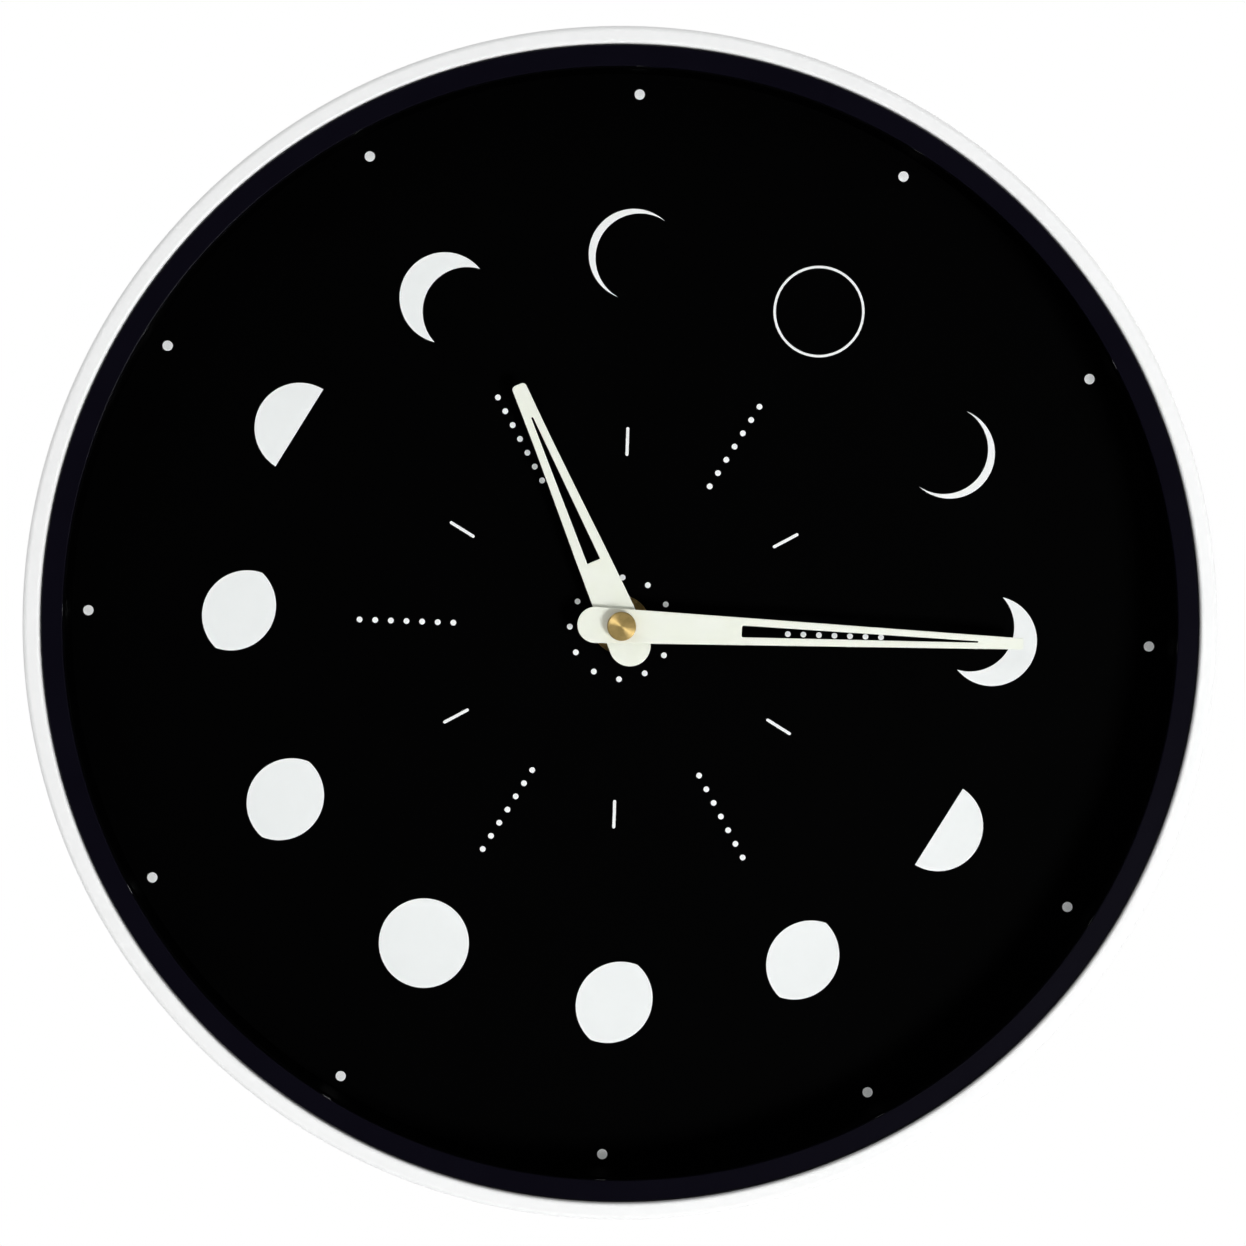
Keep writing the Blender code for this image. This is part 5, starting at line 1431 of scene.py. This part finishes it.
@dataclass
class Movement:
    """Quartz movement: moulded case, set knob, battery and its contacts."""

    shop: Workshop
    cell_axis: Point = (-19.0, 10.05)
    sleeve: Profile = ((6.15, -24.45), (6.75, -24.7), (7.25, -24.2), (7.25, 24.3), (6.75, 24.75), (6.15, 24.5))
    negative_end: Profile = ((0.0, -24.65), (6.1, -24.5), (6.1, 24.45))
    positive_end: Profile = ((3.15, 24.55), (2.75, 24.8), (2.75, 25.5), (2.45, 25.8), (0.0, 25.8))
    contact: tuple[float, float, float] = (9.0, 11.0, 0.8)
    contact_faces: Point = (26.1, 26.5)
    contact_edge: float = 0.08
    spring_foot: float = -25.95
    spring_turns: float = 2.25
    spring_height: float = 0.65
    spring_radii: Point = (2.3, 1.3)
    wire: float = 0.2
    mouldings: tuple[tuple[str, str, float], ...] = (
        ("movement_front_moulding", "movement_front_case", 0.3),
        ("movement_rear_moulding", "movement_rear_case", 0.25),
        ("knob_moulding", "set_knob", 0.12),
    )
    doubles: float = 0.001
    flatness: float = radians(3)
    sharpness: float = radians(50)

    def eased_copy(self, name: str, node: str, width: float) -> None:
        """Replaces a moulded node by a copy of it with its edges rounded.

        Args:
            name: Name of the piece.
            node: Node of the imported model.
            width: Width of the rounding in millimetres.
        """
        bm = bmesh.new()
        bm.from_mesh(frame["nodes"][node].data)
        bmesh.ops.transform(bm, matrix=STAND.inverted(), verts=bm.verts)
        bmesh.ops.remove_doubles(bm, verts=bm.verts, dist=self.doubles)
        bmesh.ops.dissolve_limit(bm, angle_limit=self.flatness, verts=bm.verts, edges=bm.edges)
        sharp = [e for e in bm.edges if len(e.link_faces) == 2 and e.calc_face_angle(0.0) > self.sharpness]
        rounding = {"segments": 2, "profile": ROUND_PROFILE, "affect": "EDGES", "clamp_overlap": True}
        bmesh.ops.bevel(bm, geom=sharp, offset=width, **rounding)
        mesh = bpy.data.meshes.new(node)
        bm.to_mesh(mesh)
        bm.free()
        fitted(name, mesh, MOVEMENT_BLACK, [node], frame["nodes"][node]["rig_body"])

    def laid(self, mesh: bpy.types.Mesh) -> bpy.types.Mesh:
        """A shape made on the axis, laid along the cell's axis."""
        return moved(mesh, Matrix.Translation((0, *self.cell_axis)) @ Matrix.Rotation(pi / 2, 4, "Y"))

    def leaf(self, rear: float, front: float) -> bpy.types.Mesh:
        """One contact's flat leaf."""
        return plate([rounded_box(*self.contact)], rear, front, self.contact_edge)

    def build(self) -> None:
        """Makes the battery, the contacts, the case and the knob."""
        jacket = self.laid(self.shop.turn(self.sleeve, CELL_JACKET))
        fitted("cell_sleeve", jacket, CELL_JACKET, ["battery"], "battery_group")
        ends = self.laid(self.shop.turn((*self.negative_end, *self.positive_end), ZINC_STEEL))
        fitted("cell_ends", ends, ZINC_STEEL, ["battery"], "battery_group")
        (near, far), (start, end) = self.contact_faces, self.spring_radii
        fitted("positive_contact", self.laid(self.leaf(near, far)), ZINC_STEEL, ["battery_contact_positive"])
        sizes = {"Turns": self.spring_turns, "Height": self.spring_height, "Wire_Radius": self.wire}
        spring = self.shop.winding.grow(ZINC_STEEL.material(), Start_Radius=start, End_Radius=end, **sizes)
        negative = self.laid(joined([self.leaf(-far, -near), placed(spring, 0, 0, self.spring_foot)]))
        fitted("negative_contact", negative, ZINC_STEEL, ["battery_contact_negative"])
        for name, node, width in self.mouldings:
            self.eased_copy(name, node, width)


# Stage


@dataclass
class Stage:
    """Plain pale floor, white surroundings and soft studio lamps."""

    glass: bpy.types.Object
    floor_level: float = -1.0
    floor_size: float = 30.0
    floor_fade: Point = (1.2, 1.95)
    floor_mirrored: Point = (-0.2, 0.3)
    world_mirrored: Point = (-0.55, 0.1)
    ambient: Point = (0.3, 0.82)
    ambient_reach: Point = (-0.6, 0.2)
    lamps: tuple[tuple[str, Place, float, float], ...] = (
        ("key_lamp", (0.95, -1.567, -0.63), 0.5, 21.6),
        ("fill_lamp", (-1.2, -1.6, 1.1), 1.2, 7.5),
        ("rear_lamp", (0.9, 1.5, 0.9), 1.2, 10.0),
    )

    def __post_init__(self) -> None:
        """Lets the lamps shine on everything but the glass."""
        self.receivers = bpy.data.collections.new("lamp_receivers")
        self.receivers.objects.link(self.glass)
        self.receivers.collection_objects[0].light_linking.link_state = "EXCLUDE"

    def floor(self) -> None:
        """Wide pale floor that takes the object's shadow and fades to white far away."""
        size = self.floor_size
        mesh = bpy.data.meshes.new("floor")
        corners = [(-size, -size), (size, -size), (size, size), (-size, size)]
        mesh.from_pydata([(x, y, self.floor_level) for x, y in corners], [], [(0, 1, 2, 3)])
        tree = ShaderTree("pale_floor")
        camera, bent, first = tree.rays()
        matt = tree.node("ShaderNodeBsdfDiffuse", Color=FLOOR_GREY)
        white = tree.node("ShaderNodeEmission", Color=WHITE, Strength=1.0)
        far = tree.node("ShaderNodeVectorMath", {"operation": "LENGTH"}, Vector=tree.place).outputs["Value"]
        seen = tree.maths("MULTIPLY", tree.ranged(far, self.floor_fade, UNIT), camera)
        behind = tree.ranged(tree.part(tree.place, "Y"), self.floor_mirrored, UNIT)
        mirrored_white = tree.node("ShaderNodeEmission", Color=WHITE, Strength=behind)
        both = tree.mixed(tree.maths("MULTIPLY", bent, first), tree.mixed(seen, matt, white), mirrored_white)
        mesh.materials.append(tree.close(both))
        piece = bpy.data.objects.new("floor", mesh)
        bpy.context.collection.objects.link(piece)

    def surroundings(self) -> None:
        """White world for the camera, soft ambient light, and a dark room in front of the glass."""
        world = bpy.data.worlds.new("studio")
        bpy.context.scene.world = world
        world.use_nodes = True
        sky = Wiring(world.node_tree)
        sky.tree.nodes.clear()
        camera, bent, first = sky.rays()
        depth = sky.part(sky.node("ShaderNodeTexCoord").outputs["Generated"], "Y")
        behind = sky.maths("MULTIPLY", bent, sky.ranged(depth, self.world_mirrored, UNIT))
        shown = sky.maths("MAXIMUM", camera, behind)
        direct = sky.maths("MULTIPLY", first, sky.maths("MAXIMUM", camera, bent))
        sweep = sky.ranged(depth, self.ambient_reach, self.ambient)
        lighting = sky.maths("MULTIPLY", sky.maths("SUBTRACT", 1.0, direct), sweep)
        strength = sky.maths("ADD", sky.maths("MULTIPLY", shown, first), lighting)
        light = sky.node("ShaderNodeBackground", Color=WHITE, Strength=strength)
        sky.node("ShaderNodeOutputWorld", Surface=light.outputs[0])

    def lamp(self, name: str, place: Place, width: float, watts: float) -> None:
        """One square soft lamp, aimed at the clock, that the glass does not mirror.

        Args:
            name: Its name.
            place: Where it stands, in metres.
            width: Its side.
            watts: Its power.
        """
        data = bpy.data.lights.new(name, "AREA")
        data.shape, data.size, data.energy = "SQUARE", width, watts
        thing = bpy.data.objects.new(name, data)
        bpy.context.collection.objects.link(thing)
        thing.location = place
        thing.rotation_mode = "QUATERNION"
        thing.rotation_quaternion = (Vector(AIM) - Vector(place)).to_track_quat("-Z", "Y")
        thing.visible_camera = thing.visible_transmission = False
        thing.light_linking.receiver_collection = self.receivers

    def build(self) -> None:
        """Sets the stage up."""
        bpy.context.scene.view_settings.view_transform = "Standard"
        self.floor()
        self.surroundings()
        for name, place, width, watts in self.lamps:
            self.lamp(name, place, width, watts)
        LOG.info("stage: floor at %.2f m, %d lamps", self.floor_level, len(self.lamps))


@dataclass
class PhotoCamera:
    """Camera at the photograph's place, fitted to the dial and the rims."""

    distance: float = 0.832
    azimuth: float = -1.426
    elevation: float = 2.696
    roll: float = 2.03
    focal: float = 3276.33
    centre: Point = (621.42, 625.9)
    frame_size: float = 1246.0
    sensor: float = 36.0
    clip: Point = (0.05, 60.0)

    def build(self) -> None:
        """Makes the camera and puts it in the scene."""
        az, el, roll = radians(self.azimuth), radians(self.elevation), radians(self.roll)
        back = Vector((sin(az) * cos(el), -cos(az) * cos(el), sin(el)))
        right = Vector((0, 0, 1)).cross(back).normalized()
        up = back.cross(right)
        turned_right = right * cos(roll) + up * sin(roll)
        turned_up = up * cos(roll) - right * sin(roll)
        data = bpy.data.cameras.new("photo_camera")
        data.sensor_width, data.lens = self.sensor, self.focal * self.sensor / self.frame_size
        middle = self.frame_size / 2
        data.shift_x = (middle - self.centre[0]) / self.frame_size
        data.shift_y = (self.centre[1] - middle) / self.frame_size
        data.clip_start, data.clip_end = self.clip
        eye = bpy.data.objects.new("photo_camera", data)
        bpy.context.collection.objects.link(eye)
        turn = Matrix((turned_right, turned_up, back)).transposed().to_4x4()
        eye.matrix_world = Matrix.Translation(Vector(AIM) + back * self.distance) @ turn
        bpy.context.scene.camera = eye
        LOG.info("camera: %.0f mm lens at %.1f m", data.lens, self.distance)


def dress_carried() -> None:
    """Gives each carried-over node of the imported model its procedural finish."""
    for finish, nodes in CARRIED.items():
        for name in nodes:
            node = frame["nodes"][name]
            for held in node.material_slots:
                held.material = finish.material()
            LOG.info("%s: packed shape, %s", name, finish.name)


def main() -> None:
    """Builds the clock from its case inwards, then the stage and the camera."""
    logging.basicConfig(level=logging.INFO, format="%(name)s: %(message)s")
    shop = Workshop()
    PhotoCamera().build()
    glass = Shell(shop).build()
    Face(shop).build()
    Hub(shop).build()
    Back(shop).build()
    Movement(shop).build()
    dress_carried()
    Stage(glass).build()


if __name__ == "__main__":
    main()
